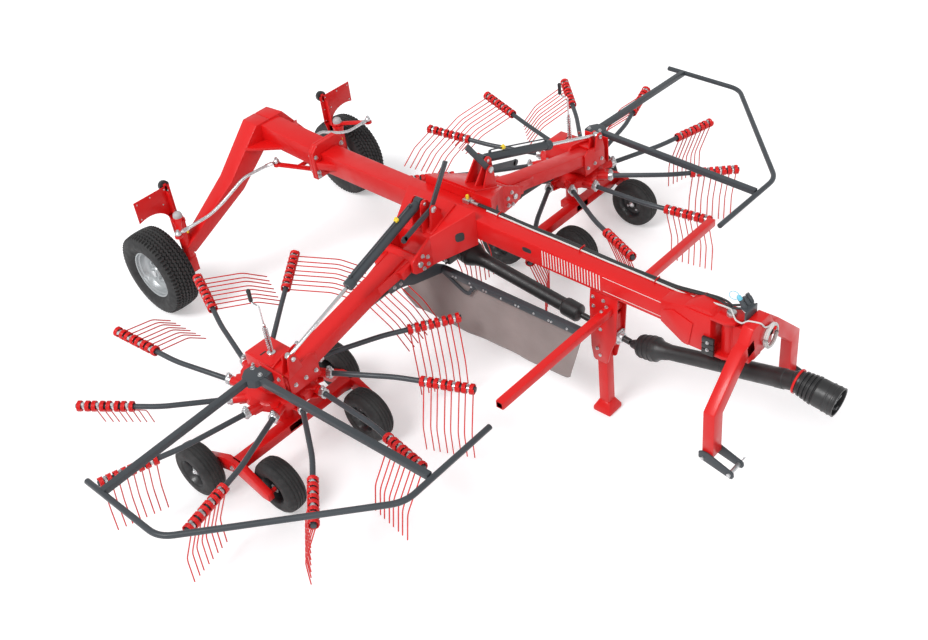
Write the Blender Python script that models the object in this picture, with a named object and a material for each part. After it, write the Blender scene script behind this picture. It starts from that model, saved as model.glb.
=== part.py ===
# Twin rotor hay rake, metres, +Z up. +X is the driving direction, +Y the left side.
# The ground is z = 0, and the machine stands as it parks: rotors down, stand on the floor.
import bpy
import bmesh
import math
from mathutils import Matrix, Vector

seat = 0.0003          # gap between faces that rest on each other
runFit = 0.0008        # gap of a bearing that turns

# main beam, a square tube
beamSide = 0.165
beamRearZ = 1.234       # the axis falls gently towards the front
beamFrontZ = 1.164
beamRearX = -1.077
beamFrontX = 2.30
flangeThick = 0.025
plate = 0.012

# rotor units, mirrored left and right
armPivotY = 0.51
armPivotZ = 1.100
armCentreX = 0.185
armWidth = 0.146
armDepth = 0.105
armEndY = 1.726
armEndZ = 0.811
pivotSleeveR = 0.05
pivotSleeveHalf = 0.145
pivotPinR = 0.022
cheekThick = 0.02

# rotors
rotorX = -0.005
rotorY = 1.617
armPlaneZ = 0.644
armCount = 11
hubR = 0.27
socketR = 0.337
innerTube = 0.473
tubeR = 0.019
sweepBack = math.radians(20.6)
kneeBend = math.radians(7.3)
coilStart = 0.173
coilEnd = 0.567
coilPairs = 4
coilR = 0.040
tineR = 0.0048
tineUpper = 0.354
tineLower = 0.218
tineKink = math.radians(21)
columnR = 0.05
rotorTilt = math.radians(2.4)    # the rotors lean forward
rotorRise = math.radians(1.1)    # their arms rise outwards
tineLead = 0.021

# rotor wheels and their tandem chassis
wheelR = 0.204
wheelHalf = 0.080
wheelFrontX = 0.336
wheelRearX = -0.240
tandemOuterY = 2.137
tandemInnerY = 1.079
tandemThick = 0.05
wheelGap = 0.010       # from a tyre's side to its tandem bar
chassisZ = 0.315
chassisSide = 0.09
stubR = 0.016

# rear axle
rearX = -2.210
rearTrack = 1.083
rearR = 0.364
rearHalf = 0.125
rimR = 0.205
kingX = -2.030
kingY = 0.885
kingHousingR = 0.045
kingPinR = 0.024
kingTopZ = 0.815
kingLowZ = 0.44
armKnuckleX = -1.805
armKnuckleY = 1.048
crankX = -1.272
crankEndX = -1.612
crankEndY = 0.124
crankZ = 1.067

# headstock and hitch
yokePivotX = 2.49
yokeX = 2.655
yokePinR = 0.03
yokeTubeR = 0.055
yokeThick = 0.078
legTopY = 0.13
legKneeY = 0.465
legKneeZ = 0.909
legFootZ = 0.583
yokeTopZ = 1.227
clevisReach = 0.165
clevisThick = 0.012
legWide = 0.100

# drive line
ptoJointX = 1.771
ptoJointZ = 0.706
ptoGuardLong = 0.250
ptoGuardR = 0.095
ptoConeX = 2.970
ptoConeZ = 0.980
ptoHang = math.radians(-7)     # the front joint lets the guard cone hang
gearX = 0.113
gearZ = 0.903
shaftR = 0.022
ballR = 0.030

# stand
standX = 1.530
standPivotZ = 0.535
standSide = 0.08
standGap = 0.004

# front bar
barX = 1.620
barZ = 0.962
barSide = 0.06
barHalf = 1.171

# guard frames
guardTubeR = 0.021
strutSide = 0.045

# curtain
curtainY = -0.220
curtainBarZ = 0.848
curtainFrontX = 1.54

# the bounding box centre along X, which becomes the origin
rearEnd = rearX - rearR
ptoLong = math.hypot(ptoConeX - ptoJointX, ptoConeZ - ptoJointZ)
ptoPitch = math.atan2(ptoConeZ - ptoJointZ, ptoConeX - ptoJointX)
frontEnd = ptoConeX + ptoGuardLong * math.cos(ptoHang) + ptoGuardR * math.sin(abs(ptoHang))
originX = (rearEnd + frontEnd) / 2

red = ('red_paint', (0.66, 0.015, 0.012), 0.35, 0.0)
anthracite = ('anthracite_paint', (0.055, 0.063, 0.070), 0.45, 0.0)
rubber = ('tyre_rubber', (0.018, 0.018, 0.019), 0.85, 0.0)
zinc = ('zinc_plate', (0.62, 0.63, 0.64), 0.35, 0.9)
blackPlastic = ('black_plastic', (0.022, 0.022, 0.023), 0.55, 0.0)
curtainCloth = ('curtain_cloth', (0.25, 0.21, 0.20), 0.8, 0.0)


def beamZ(x):
    return beamRearZ + (beamFrontZ - beamRearZ) * (x - beamRearX) / (beamFrontX - beamRearX)


def beamLow(x):
    return beamZ(x) - beamSide / 2


def beamTop(x):
    return beamZ(x) + beamSide / 2


def clearScene():
    for ob in list(bpy.data.objects):
        bpy.data.objects.remove(ob, do_unlink=True)


def paintFor(paint):
    name, colour, rough, metal = paint
    mat = bpy.data.materials.get(name)
    if mat is None:
        mat = bpy.data.materials.new(name)
        mat.use_nodes = True
        shader = mat.node_tree.nodes['Principled BSDF']
        shader.inputs['Base Color'].default_value = (*colour, 1)
        shader.inputs['Roughness'].default_value = rough
        shader.inputs['Metallic'].default_value = metal
    return mat


# the three axes of a swept outline at one point: along the path, and across it
def crossAxes(along, up):
    side = Vector(up).cross(along)
    if side.length < 1e-6:
        side = Vector((1, 0, 0)).cross(along)
    side.normalize()
    return side, along.cross(side).normalized()


# carries a closed outline along a bent path, mitred at each bend
def sweep(points, outline, up=(0, 0, 1), scales=None):
    pts = [Vector(p) for p in points]
    bm = bmesh.new()
    rings = []
    for i, p in enumerate(pts):
        before = (p - pts[i - 1]).normalized() if i else None
        after = (pts[i + 1] - p).normalized() if i < len(pts) - 1 else None
        along = before or after
        side, over = crossAxes(along, up)
        cut = (before + after).normalized() if before and after else along
        ring = []
        grow = scales[i] if scales else 1.0
        for a, b in outline:
            q = side * a * grow + over * b * grow
            q = q - along * (q.dot(cut) / along.dot(cut))
            ring.append(bm.verts.new(p + q))
        rings.append(ring)
    for lower, upper in zip(rings, rings[1:]):
        for k in range(len(lower)):
            n = (k + 1) % len(lower)
            bm.faces.new((lower[k], lower[n], upper[n], upper[k]))
    bm.faces.new(list(reversed(rings[0])))
    bm.faces.new(rings[-1])
    return closed(bm)


def closed(bm):
    bmesh.ops.recalc_face_normals(bm, faces=bm.faces)
    mesh = bpy.data.meshes.new('solid')
    bm.to_mesh(mesh)
    bm.free()
    return mesh


def circle(radius, sides, turn=0.5):
    step = 2 * math.pi / sides
    return [(radius * math.cos(step * (k + turn)), radius * math.sin(step * (k + turn)))
            for k in range(sides)]


def oblong(width, height):
    return [(-width / 2, -height / 2), (width / 2, -height / 2),
            (width / 2, height / 2), (-width / 2, height / 2)]


def tube(points, radius, sides=8, up=(0, 0, 1)):
    return sweep(points, circle(radius, sides), up)


def bar(points, width, height, up=(0, 0, 1), scales=None):
    return sweep(points, oblong(width, height), up, scales)


def block(x0, x1, y0, y1, z0, z1):
    bm = bmesh.new()
    bmesh.ops.create_cube(bm, size=1)
    bmesh.ops.scale(bm, vec=(abs(x1 - x0), abs(y1 - y0), abs(z1 - z0)), verts=bm.verts)
    bmesh.ops.translate(bm, vec=((x0 + x1) / 2, (y0 + y1) / 2, (z0 + z1) / 2), verts=bm.verts)
    return closed(bm)


# extrudes a flat outline along one axis; the outline's own axes are the other two in order
def slab(axis, outline, start, end):
    k = 'xyz'.index(axis)
    bm = bmesh.new()

    def place(a, b, h):
        p = [a, b]
        p.insert(k, h)
        return bm.verts.new(p)
    face = bm.faces.new([place(a, b, start) for a, b in outline])
    got = bmesh.ops.extrude_face_region(bm, geom=[face])
    shift = Vector((0, 0, 0))
    shift[k] = end - start
    bmesh.ops.translate(bm, vec=shift,
                        verts=[v for v in got['geom'] if isinstance(v, bmesh.types.BMVert)])
    return closed(bm)


# turns a profile of (radius, height) rows round an axis through a point;
# a profile whose first and last rows lie on the axis is solid, any other is a ring
def turned(rows, centre, axis, sides=24):
    axis = Vector(axis).normalized()
    side, over = crossAxes(axis, (0, 0, 1) if abs(axis.z) < 0.9 else (1, 0, 0))
    centre = Vector(centre)
    solid = rows[0][0] < 1e-9
    bm = bmesh.new()
    step = 2 * math.pi / sides
    rings = []
    for r, h in rows:
        if r < 1e-9:
            rings.append([bm.verts.new(centre + axis * h)])
            continue
        rings.append([bm.verts.new(centre + axis * h + side * r * math.cos(step * k)
                                   + over * r * math.sin(step * k)) for k in range(sides)])
    pairs = list(zip(rings, rings[1:])) if solid else list(zip(rings, rings[1:] + rings[:1]))
    for low, high in pairs:
        for k in range(sides):
            n = (k + 1) % sides
            loop = []
            for v in (low[k % len(low)], low[n % len(low)], high[n % len(high)], high[k % len(high)]):
                if v not in loop:
                    loop.append(v)
            bm.faces.new(loop)
    return closed(bm)


def joinMeshes(meshes):
    bm = bmesh.new()
    for mesh in meshes:
        bm.from_mesh(mesh)
    out = bpy.data.meshes.new('joined')
    bm.to_mesh(out)
    bm.free()
    return out


def combine(mesh, others, operation):
    ob = bpy.data.objects.new('work', mesh)
    tool = bpy.data.objects.new('tool', joinMeshes(others))
    bpy.context.scene.collection.objects.link(ob)
    bpy.context.scene.collection.objects.link(tool)
    mod = ob.modifiers.new('cut', 'BOOLEAN')
    mod.operation = operation
    mod.solver = 'EXACT'
    mod.use_self = True
    mod.object = tool
    bpy.context.view_layer.update()
    deps = bpy.context.evaluated_depsgraph_get()
    result = bpy.data.meshes.new_from_object(ob.evaluated_get(deps))
    bpy.data.objects.remove(ob, do_unlink=True)
    bpy.data.objects.remove(tool, do_unlink=True)
    return result


# one node: solids fused into one body, cutters taken out, origin on the pivot
def node(name, solids, paint, pivot=(0, 0, 0), cuts=()):
    mesh = solids[0]
    if len(solids) > 1:
        mesh = combine(mesh, solids[1:], 'UNION')
    if cuts:
        mesh = combine(mesh, list(cuts), 'DIFFERENCE')
    bm = bmesh.new()
    bm.from_mesh(mesh)
    bmesh.ops.remove_doubles(bm, verts=bm.verts, dist=2e-5)
    bmesh.ops.dissolve_limit(bm, angle_limit=math.radians(0.4), verts=bm.verts, edges=bm.edges)
    bmesh.ops.translate(bm, vec=-Vector(pivot), verts=bm.verts)
    out = bpy.data.meshes.new(name)
    bm.to_mesh(out)
    bm.free()
    out.materials.clear()
    out.materials.append(paintFor(paint))
    ob = bpy.data.objects.new(name, out)
    bpy.context.scene.collection.objects.link(ob)
    ob.location = pivot
    ob.parent = root
    out.shade_smooth()
    out.set_sharp_from_angle(angle=math.radians(32))
    return ob


sides = (('right', -1), ('left', 1))


def beamFlange():
    low, top = beamLow(beamRearX), beamTop(beamRearX)
    return [(-0.155, low - 0.035), (0.155, low - 0.035), (0.155, top + 0.03), (0.10, top + 0.08),
            (-0.10, top + 0.08), (-0.155, top + 0.03)]


# heights of the pivot box at the beam's front end
def forkHeights():
    return beamLow(beamFrontX) - 0.097, beamTop(beamFrontX) + 0.025


def mainBeam():
    half = beamSide / 2
    forkLow, forkTop = forkHeights()
    back = beamFrontX - 0.26
    forkFace = [(back, beamLow(back)), (beamFrontX - 0.10, forkLow), (yokePivotX - 0.09, forkLow),
                (yokePivotX - 0.09, forkTop), (beamFrontX - 0.10, forkTop), (back, beamTop(back))]
    ear = [(yokePivotX - 0.10, -0.086), (yokePivotX, -0.086), (yokePivotX + 0.060, -0.060),
           (yokePivotX + 0.086, 0), (yokePivotX + 0.060, 0.060), (yokePivotX, 0.086),
           (yokePivotX - 0.10, 0.086)]
    solids = [bar([(beamRearX, 0, beamRearZ), (beamFrontX, 0, beamFrontZ)], beamSide, beamSide),
              slab('x', beamFlange(), beamRearX - flangeThick, beamRearX + 0.004),
              slab('y', forkFace, -0.0865, 0.0865),
              slab('z', ear, forkTop - 0.02, forkTop + 0.005),
              slab('z', ear, forkLow - 0.005, forkLow + 0.02),
              tube([(yokePivotX, 0, forkLow - 0.02), (yokePivotX, 0, forkTop + 0.03)], yokePinR, 16)]
    for s in (-1, 1):
        rib = [(beamRearX, s * half * 0.98), (beamRearX + 0.16, s * half * 0.98), (beamRearX, s * 0.145)]
        solids.append(slab('z', rib, beamRearZ - 0.03, beamRearZ + 0.03))
    node('main_beam', solids, red)


# tapered box on each side of the beam that carries the arm's hinge and the cylinder's lug
def armBracket(name, s):
    root0 = s * (beamSide / 2 + seat)
    cheekY = s * 0.39
    tipY = s * (armPivotY + 0.07)
    x0, x1 = armCentreX - pivotSleeveHalf - 0.005, armCentreX + pivotSleeveHalf + 0.005
    bm = bmesh.new()
    rows = ((root0, x0 - 0.155, x1 + 0.185, 1.078, 1.363), (cheekY, x0 - 0.0195, x1 + 0.0195, 1.020, 1.250))
    rings = []
    for y, xa, xb, za, zb in rows:
        rings.append([bm.verts.new(v) for v in ((xa, y, za), (xb, y, za), (xb, y, zb), (xa, y, zb))])
    for k in range(4):
        n = (k + 1) % 4
        bm.faces.new((rings[0][k], rings[0][n], rings[1][n], rings[1][k]))
    bm.faces.new(rings[0])
    bm.faces.new(rings[1])
    solids = [closed(bm)]
    cheek = [(s * 0.36, 1.022), (cheekY, 1.021), (s * armPivotY, 1.030), (tipY, 1.065), (tipY, 1.135),
             (s * (armPivotY + 0.03), 1.170), (cheekY, 1.248), (s * 0.36, 1.255)]
    for xa, xb in ((x0 - cheekThick, x0), (x1, x1 + cheekThick)):
        solids.append(slab('x', cheek, xa, xb))
    solids.append(tube([(x0 - cheekThick - 0.012, s * armPivotY, armPivotZ),
                        (x1 + cheekThick + 0.012, s * armPivotY, armPivotZ)], pivotPinR, 16))
    lug = [(s * 0.15, 1.31), (s * 0.38, 1.235), (s * 0.370, 1.47), (s * 0.345, 1.50), (s * 0.31, 1.50),
           (s * 0.285, 1.47)]
    for xa in (-0.052, 0.040):
        solids.append(slab('x', lug, xa + cylinderX, xa + cylinderX + plate))
    solids.append(tube([(cylinderX - 0.045, s * cylBaseY, cylBaseZ), (cylinderX + 0.045, s * cylBaseY, cylBaseZ)],
                       cylPinR, 12))
    ear = [(s * 0.20, 1.30), (s * 0.36, 1.24), (s * 0.325, 1.45), (s * 0.275, 1.45)]
    face = leverX + leverThick / 2 + seat
    solids.append(slab('x', ear, face, face + plate))
    node(name, solids, red)


# lock lever of each arm, beside its pivot
leverX = 0.320
leverThick = 0.012

# lift cylinder, lying above the arm
cylinderX = 0.240
cylBaseY = 0.330
cylBaseZ = 1.475
cylEyeY = 1.649
cylEyeZ = 1.012
cylBarrelR = 0.033
cylRodR = 0.013
cylPinR = 0.012
cylBarrelLong = 0.776


def cylinderAxis(s):
    base = Vector((cylinderX, s * cylBaseY, cylBaseZ))
    eye = Vector((cylinderX, s * cylEyeY, cylEyeZ))
    return base, eye, (eye - base).normalized()


def liftCylinder(side, s):
    base, eye, along = cylinderAxis(s)
    bore = cylPinR + runFit
    barrelEnd = base + along * cylBarrelLong
    barrel = [turned([(bore, -0.028), (0.03, -0.028), (0.03, 0.028), (bore, 0.028)], base, (1, 0, 0), 16),
              tube([base + along * 0.024, barrelEnd], cylBarrelR, 16),
              tube([barrelEnd - along * 0.02, barrelEnd + along * 0.012], cylBarrelR + 0.006, 16)]
    inner = tube([base + along * 0.16, barrelEnd + along * 0.05], cylRodR + runFit, 12)
    node(f'lift_barrel_{side}', barrel, anthracite, pivot=base, cuts=[inner])
    rod = [tube([base + along * 0.73, eye - along * 0.020], cylRodR, 12),
           turned([(0, -0.020), (0.026, -0.020), (0.026, 0.020), (0, 0.020)], eye, (1, 0, 0), 16)]
    node(f'lift_rod_{side}', rod, zinc, pivot=eye)


def rotorArm(side, s):
    sleeve = turned([(pivotPinR + runFit, -pivotSleeveHalf), (pivotSleeveR, -pivotSleeveHalf),
                     (pivotSleeveR, pivotSleeveHalf), (pivotPinR + runFit, pivotSleeveHalf)],
                    (armCentreX, s * armPivotY, armPivotZ), (1, 0, 0), 20)
    start = Vector((armCentreX, s * armPivotY, armPivotZ))
    end = Vector((armCentreX, s * armEndY, armEndZ))
    along = (end - start).normalized()
    beam = bar([start + along * 0.034, end], armWidth, armDepth)
    wedge = bar([start + along * 0.034, start + along * 0.15], 0.27, 0.07)
    node(f'rotor_arm_{side}', [sleeve, beam, wedge], red,
         pivot=(armCentreX, s * armPivotY, armPivotZ))


def armUnderZ(y):
    t = (y - armPivotY) / (armEndY - armPivotY)
    slope = math.atan2(armPivotZ - armEndZ, armEndY - armPivotY)
    return armPivotZ + (armEndZ - armPivotZ) * t - armDepth / 2 / math.cos(slope)


def armOverZ(y):
    slope = math.atan2(armPivotZ - armEndZ, armEndY - armPivotY)
    return armUnderZ(y) + armDepth / math.cos(slope)


# turns a mesh about the rotor's centre into the rotor's leaning frame
def leaned(mesh, s):
    centre = Vector((rotorX, s * rotorY, armPlaneZ))
    mesh.transform(Matrix.Translation(centre) @ Matrix.Rotation(rotorTilt, 4, 'Y') @ Matrix.Translation(-centre))
    return mesh


# the rotor's head: a saddle below the arm's end, the cam drum's cover and the fixed column
headTopZ = 0.752
housingTopZ = 0.900
def rotorHead(side, s):
    y = s * rotorY
    cover = [(0.10, -0.165), (0.19, -0.10), (0.23, 0.0), (0.19, 0.10), (0.10, 0.175), (-0.19, 0.175),
             (-0.245, 0.10), (-0.245, -0.10), (-0.16, -0.165)]
    solids = [leaned(turned([(0, 0.34685), (columnR, 0.34685), (columnR, 0.73), (0, 0.73)],
                            (rotorX, y, 0), (0, 0, 1), 24), s),
              slab('z', [(rotorX + a + 0.02, y + s * b) for a, b in cover], armPlaneZ + 0.076, headTopZ)]
    solids.append(block(rotorX - 0.17, armCentreX - armWidth / 2 - 0.005, y - 0.12, y + 0.10, 0.735, housingTopZ))
    a, b, along = crossShaftLine(s)
    solids.append(tube([b + along * seat, b + along * 0.10], 0.032, 12))
    low = headTopZ - 0.01
    y0, y1 = rotorY - 0.16, armEndY - 0.02
    saddle = [(s * y0, low), (s * y0, armUnderZ(y0) - seat), (s * y1, armUnderZ(y1) - seat), (s * y1, low)]
    solids.append(slab('x', saddle, armCentreX - 0.10, armCentreX + 0.085))
    half = armWidth / 2 + seat
    for xa, xb in ((armCentreX - half - plate, armCentreX - half), (armCentreX + half, armCentreX + half + plate)):
        wall = [(s * y0, 0.735), (s * (armEndY - 0.01), 0.735), (s * (armEndY - 0.01), 0.895), (s * 1.62, 0.93),
                (s * 1.50, 0.95), (s * y0, 0.92)]
        solids.append(slab('x', wall, xa, xb))
    # strap over the arm that carries the two ears of the lift rod
    y0, y1 = 1.585, 1.712
    strap = [(s * y0, armOverZ(y0) + seat), (s * y1, armOverZ(y1) + seat), (s * y1, armOverZ(y1) + 0.016),
             (s * y0, armOverZ(y0) + 0.016)]
    solids.append(slab('x', strap, armCentreX - half - plate, armCentreX + half + plate))
    ear = [(s * y0, armOverZ(y0) + 0.004), (s * y1, armOverZ(y1) + 0.004), (s * 1.682, cylEyeZ + 0.022),
           (s * 1.616, cylEyeZ + 0.022)]
    for xa in (cylinderX - 0.022 - plate, cylinderX + 0.022):
        solids.append(slab('x', ear, xa, xa + plate))
    solids.append(block(armCentreX - 0.14, armCentreX + 0.09, s * (armEndY + 0.025), s * (armEndY + 0.037), 0.722, 0.945))
    solids.append(block(armCentreX - 0.10, armCentreX + 0.07, s * (armEndY - 0.03), s * (armEndY + 0.03), 0.722, 0.750))
    node(f'rotor_head_{side}', solids, red)


def guardFrame(side, s):
    rail = [(-0.029, s * 3.068, 0.903), (0.684, s * 3.068, 0.886), (1.632, s * 2.028, 0.869), (1.620, s * 1.271, 0.865)]
    hub = Vector((0.085, s * 1.850, 0.910))
    solids = [tube(rail, guardTubeR, 10)]
    for end in ((0.125, s * 3.064, 0.899), (1.607, s * 1.793, 0.868)):
        solids.append(bar([hub, end], strutSide, strutSide))
    base = [(-0.03, s * 1.80), (0.20, s * 1.80), (0.21, s * 1.92), (0.02, s * 1.96), (-0.05, s * 1.91)]
    solids.append(slab('z', base, 0.872, 0.932))
    solids.append(block(0.06, 0.18, s * (armEndY + 0.037 + seat), s * 1.82, 0.855, 0.930))
    node(f'guard_frame_{side}', solids, anthracite)


# chassis below the rotor: cross tube, column seat and two tandem bars with their stubs
def rotorChassis(side, s):
    mid = (wheelFrontX + wheelRearX) / 2
    h = chassisSide / 2
    solids = [block(mid - h, mid + h, s * (tandemInnerY - tandemThick / 2 + 0.002), s * (tandemOuterY - 0.002),
                    chassisZ - h, chassisZ + h - 0.0157),
              block(rotorX - 0.075, mid + h, s * (rotorY - 0.08), s * (rotorY + 0.08), chassisZ - h + 0.01, 0.345 - seat)]
    for y in (tandemInnerY, tandemOuterY):
        rail = [(wheelRearX - 0.04, wheelR - 0.03), (wheelRearX + 0.03, wheelR - 0.035),
                (mid, chassisZ - h - 0.02), (wheelFrontX - 0.03, wheelR - 0.035), (wheelFrontX + 0.04, wheelR - 0.03),
                (wheelFrontX + 0.04, wheelR + 0.03), (mid + 0.08, chassisZ + h - 0.0157),
                (mid - 0.08, chassisZ + h - 0.0157), (wheelRearX - 0.04, wheelR + 0.03)]
        solids.append(slab('y', rail, s * (y - tandemThick / 2), s * (y + tandemThick / 2)))
    for x, y, out in rotorWheelPlaces():
        barY = tandemOuterY if y > rotorY else tandemInnerY
        start = s * (barY + out * (tandemThick / 2 - 0.005))
        solids.append(tube([(x, start, wheelR), (x, s * (y + out * 0.05), wheelR)], stubR, 12))
    node(f'rotor_chassis_{side}', solids, red)


# place of each small wheel, and the side of its tandem bar that it runs on
def rotorWheelPlaces():
    off = tandemThick / 2 + wheelGap + wheelHalf
    return ((wheelFrontX, tandemOuterY - off, -1), (wheelRearX, tandemOuterY + off, 1),
            (wheelFrontX, tandemInnerY + off, 1), (wheelRearX, tandemInnerY - off, -1))


def rotorWheels(side, s):
    names = ('outer_front', 'outer_rear', 'inner_front', 'inner_rear')
    w = wheelHalf
    for name, (x, y, out) in zip(names, rotorWheelPlaces()):
        rows = [(stubR + runFit, -w + 0.012), (0.05, -w + 0.012), (0.088, -0.02), (0.105, -w + 0.004),
                (0.150, -w), (0.192, -w + 0.024), (wheelR, -0.03), (wheelR, 0.03), (0.192, w - 0.024),
                (0.150, w), (0.105, w - 0.004), (0.088, 0.02), (stubR + runFit, 0.035)]
        centre = (x, s * y, wheelR)
        node(f'rotor_wheel_{side}_{name}', [turned(rows, centre, (0, s * out, 0), 16)], rubber, pivot=centre)


# one rotor: hub ring, sockets, eleven bent tubes with their coils and double tines
# roll: angle of each arm's tines, from straight down towards the trailing side
rotorTable = {
    'right': (182.4, 1, (57, 64, 40, 0, 0, 10, 0, 0, 0, 24, 50)),
    'left': (145.0, -1, (59, 35, 28, 0, 0, 0, 0, 0, 5, 50, 76)),
}


def tineSet(at, along, down, trail, count=2):
    solids = []
    for shift in (-0.027, 0.027):
        top = at + along * shift - trail * tineLead
        knee = top + (down * math.cos(tineKink) + trail * math.sin(tineKink)) * tineUpper
        solids.append(sweep([top, knee, knee + down * tineLower], circle(tineR, 3), along))
    return solids


def rotor(side, s):
    first, turn, rolls = rotorTable[side]
    centre = Vector((rotorX, s * rotorY, armPlaneZ))
    bore = columnR / math.cos(math.pi / 24) + seat
    solids = [leaned(turned([(bore, -0.055), (hubR, -0.055), (hubR + 0.02, 0), (hubR, 0.055), (bore, 0.055)],
                            centre, (0, 0, 1), 24), s)]
    lean = Matrix.Rotation(rotorTilt, 3, 'Y')
    for k, roll in enumerate(rolls):
        a = math.radians(first - 360 / armCount * k)
        flat = lean @ Vector((math.cos(a), math.sin(a), 0))
        up = lean @ Vector((0, 0, 1))
        et = lean @ Vector((-math.sin(a), math.cos(a), 0)) * -turn
        er = flat * math.cos(rotorRise) + up * math.sin(rotorRise)
        n = up * math.cos(rotorRise) - flat * math.sin(rotorRise)
        d1 = er * math.cos(sweepBack) + et * math.sin(sweepBack)
        back = et * math.cos(sweepBack) - er * math.sin(sweepBack)
        # the cam turns the whole bent tube, so its knee and its tines turn together
        r = math.radians(roll)
        bend = back * math.cos(r) + n * math.sin(r)
        down = back * math.sin(r) - n * math.cos(r)
        d2 = d1 * math.cos(kneeBend) + bend * math.sin(kneeBend)
        trail = bend * math.cos(kneeBend) - d1 * math.sin(kneeBend)
        root1 = centre + er * socketR
        knee = root1 + d1 * innerTube
        solids.append(tube([root1 - d1 * 0.12, root1 + d1 * 0.01], 0.032, 8))
        solids.append(tube([root1 - d1 * 0.02, knee, knee + d2 * (coilEnd + 0.012)], tubeR, 6))
        solids.append(tube([knee + d2 * coilStart, knee + d2 * coilEnd], coilR, 8))
        pitch = (coilEnd - coilStart) / coilPairs
        for c in range(coilPairs):
            solids += tineSet(knee + d2 * (coilStart + pitch * (c + 0.5)), d2, down, trail)
    node(f'rotor_{side}', solids, red, pivot=centre)


def rearFrame():
    flangeX = beamRearX - flangeThick - seat
    solids = [slab('x', beamFlange(), flangeX - flangeThick, flangeX),
              bar([(flangeX - 0.01, 0, 1.247), (-1.80, 0, 1.292), (-1.94, 0, 1.297)], 0.185, 0.16)]
    for s in (-1, 1):
        leg = [(-1.845, 0, 1.292), (-1.845, s * 0.09, 1.292), (-1.905, s * 0.390, 0.945), (kingX, s * (kingY - 0.01), 0.533)]
        solids.append(bar(leg, 0.185, 0.185, up=(1, 0, 0), scales=(1.0, 1.0, 0.86, 0.55)))
        gusset = [(-1.78, s * 0.05), (-1.47, s * 0.05), (-1.78, s * 0.28)]
        solids.append(slab('z', gusset, 1.212, 1.236))
        solids.append(turned([(kingPinR + runFit, kingLowZ), (kingHousingR, kingLowZ), (kingHousingR, kingTopZ),
                              (kingPinR + runFit, kingTopZ)], (kingX, s * kingY, 0), (0, 0, 1), 20))
    solids.append(tube([(crankX, 0, crankZ - 0.04), (crankX, 0, 1.21)], 0.022, 16))
    solids.append(turned([(0.0, crankZ + 0.0135), (0.05, crankZ + 0.0135), (0.05, 1.21), (0, 1.21)], (crankX, 0, 0), (0, 0, 1), 16))
    bores = [turned([(0, kingLowZ - 0.1), (kingPinR + runFit, kingLowZ - 0.1), (kingPinR + runFit, kingTopZ + 0.1),
                     (0, kingTopZ + 0.1)], (kingX, s * kingY, 0), (0, 0, 1), 20) for s in (-1, 1)]
    node('rear_frame', solids, red, cuts=bores)


def knuckle(side, s):
    axleZ = rearR
    solids = [turned([(0, axleZ - 0.03), (kingPinR, axleZ - 0.03), (kingPinR, kingTopZ + 0.045), (0, kingTopZ + 0.045)],
                     (kingX, s * kingY, 0), (0, 0, 1), 20),
              turned([(0, kingTopZ + 0.004), (0.042, kingTopZ + 0.004), (0.042, kingTopZ + 0.028), (0.034, kingTopZ + 0.045),
                      (0, kingTopZ + 0.045)], (kingX, s * kingY, 0), (0, 0, 1), 20),
              block(kingX - 0.04, kingX + 0.035, s * (kingY - 0.04), s * (kingY + 0.035), axleZ - 0.05, kingLowZ - 0.004),
              bar([(kingX - 0.01, s * kingY, axleZ), (rearX, s * (kingY + 0.02), axleZ)], 0.06, 0.06),
              tube([(rearX, s * (kingY - 0.012), axleZ), (rearX, s * (rearTrack + 0.03), axleZ)], 0.03, 16),
              bar([(kingX, s * kingY, kingTopZ + 0.014), (armKnuckleX, s * armKnuckleY, kingTopZ + 0.014)], 0.05, 0.016)]
    end = (armKnuckleX, s * armKnuckleY, 0)
    solids.append(turned([(0, kingTopZ + 0.006), (0.032, kingTopZ + 0.006), (0.032, kingTopZ + 0.022), (0, kingTopZ + 0.022)],
                         end, (0, 0, 1), 16))
    node(f'knuckle_{side}', solids, red, pivot=(kingX, s * kingY, axleZ))


def rearWheel(side, s):
    centre = (rearX, s * rearTrack, rearR)
    w = rearHalf
    rt, rr = rimR + seat, rearR
    tyre = [(rt, -0.085), (rt + 0.022, -w + 0.022), (rt + 0.06, -w), (rr - 0.035, -w + 0.010),
            (rr - 0.006, -w + 0.024), (rr, -w + 0.05), (rr, w - 0.05), (rr - 0.006, w - 0.024), (rr - 0.035, w - 0.010),
            (rt + 0.06, w), (rt + 0.022, w - 0.022), (rt, 0.085)]
    node(f'rear_tyre_{side}', [turned(tyre, centre, (0, s, 0), 28)], rubber, pivot=centre)
    hub = 0.03 + runFit
    rim = [(hub, -0.06), (0.060, -0.06), (0.060, 0.004), (0.155, 0.010), (0.180, -0.080),
           (rimR, -0.084), (rimR, 0.084), (0.180, 0.080), (0.165, 0.026), (0.075, 0.016), (0.060, 0.045),
           (hub, 0.045)]
    node(f'rear_rim_{side}', [turned(rim, centre, (0, s, 0), 28)], zinc, pivot=centre)


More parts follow.
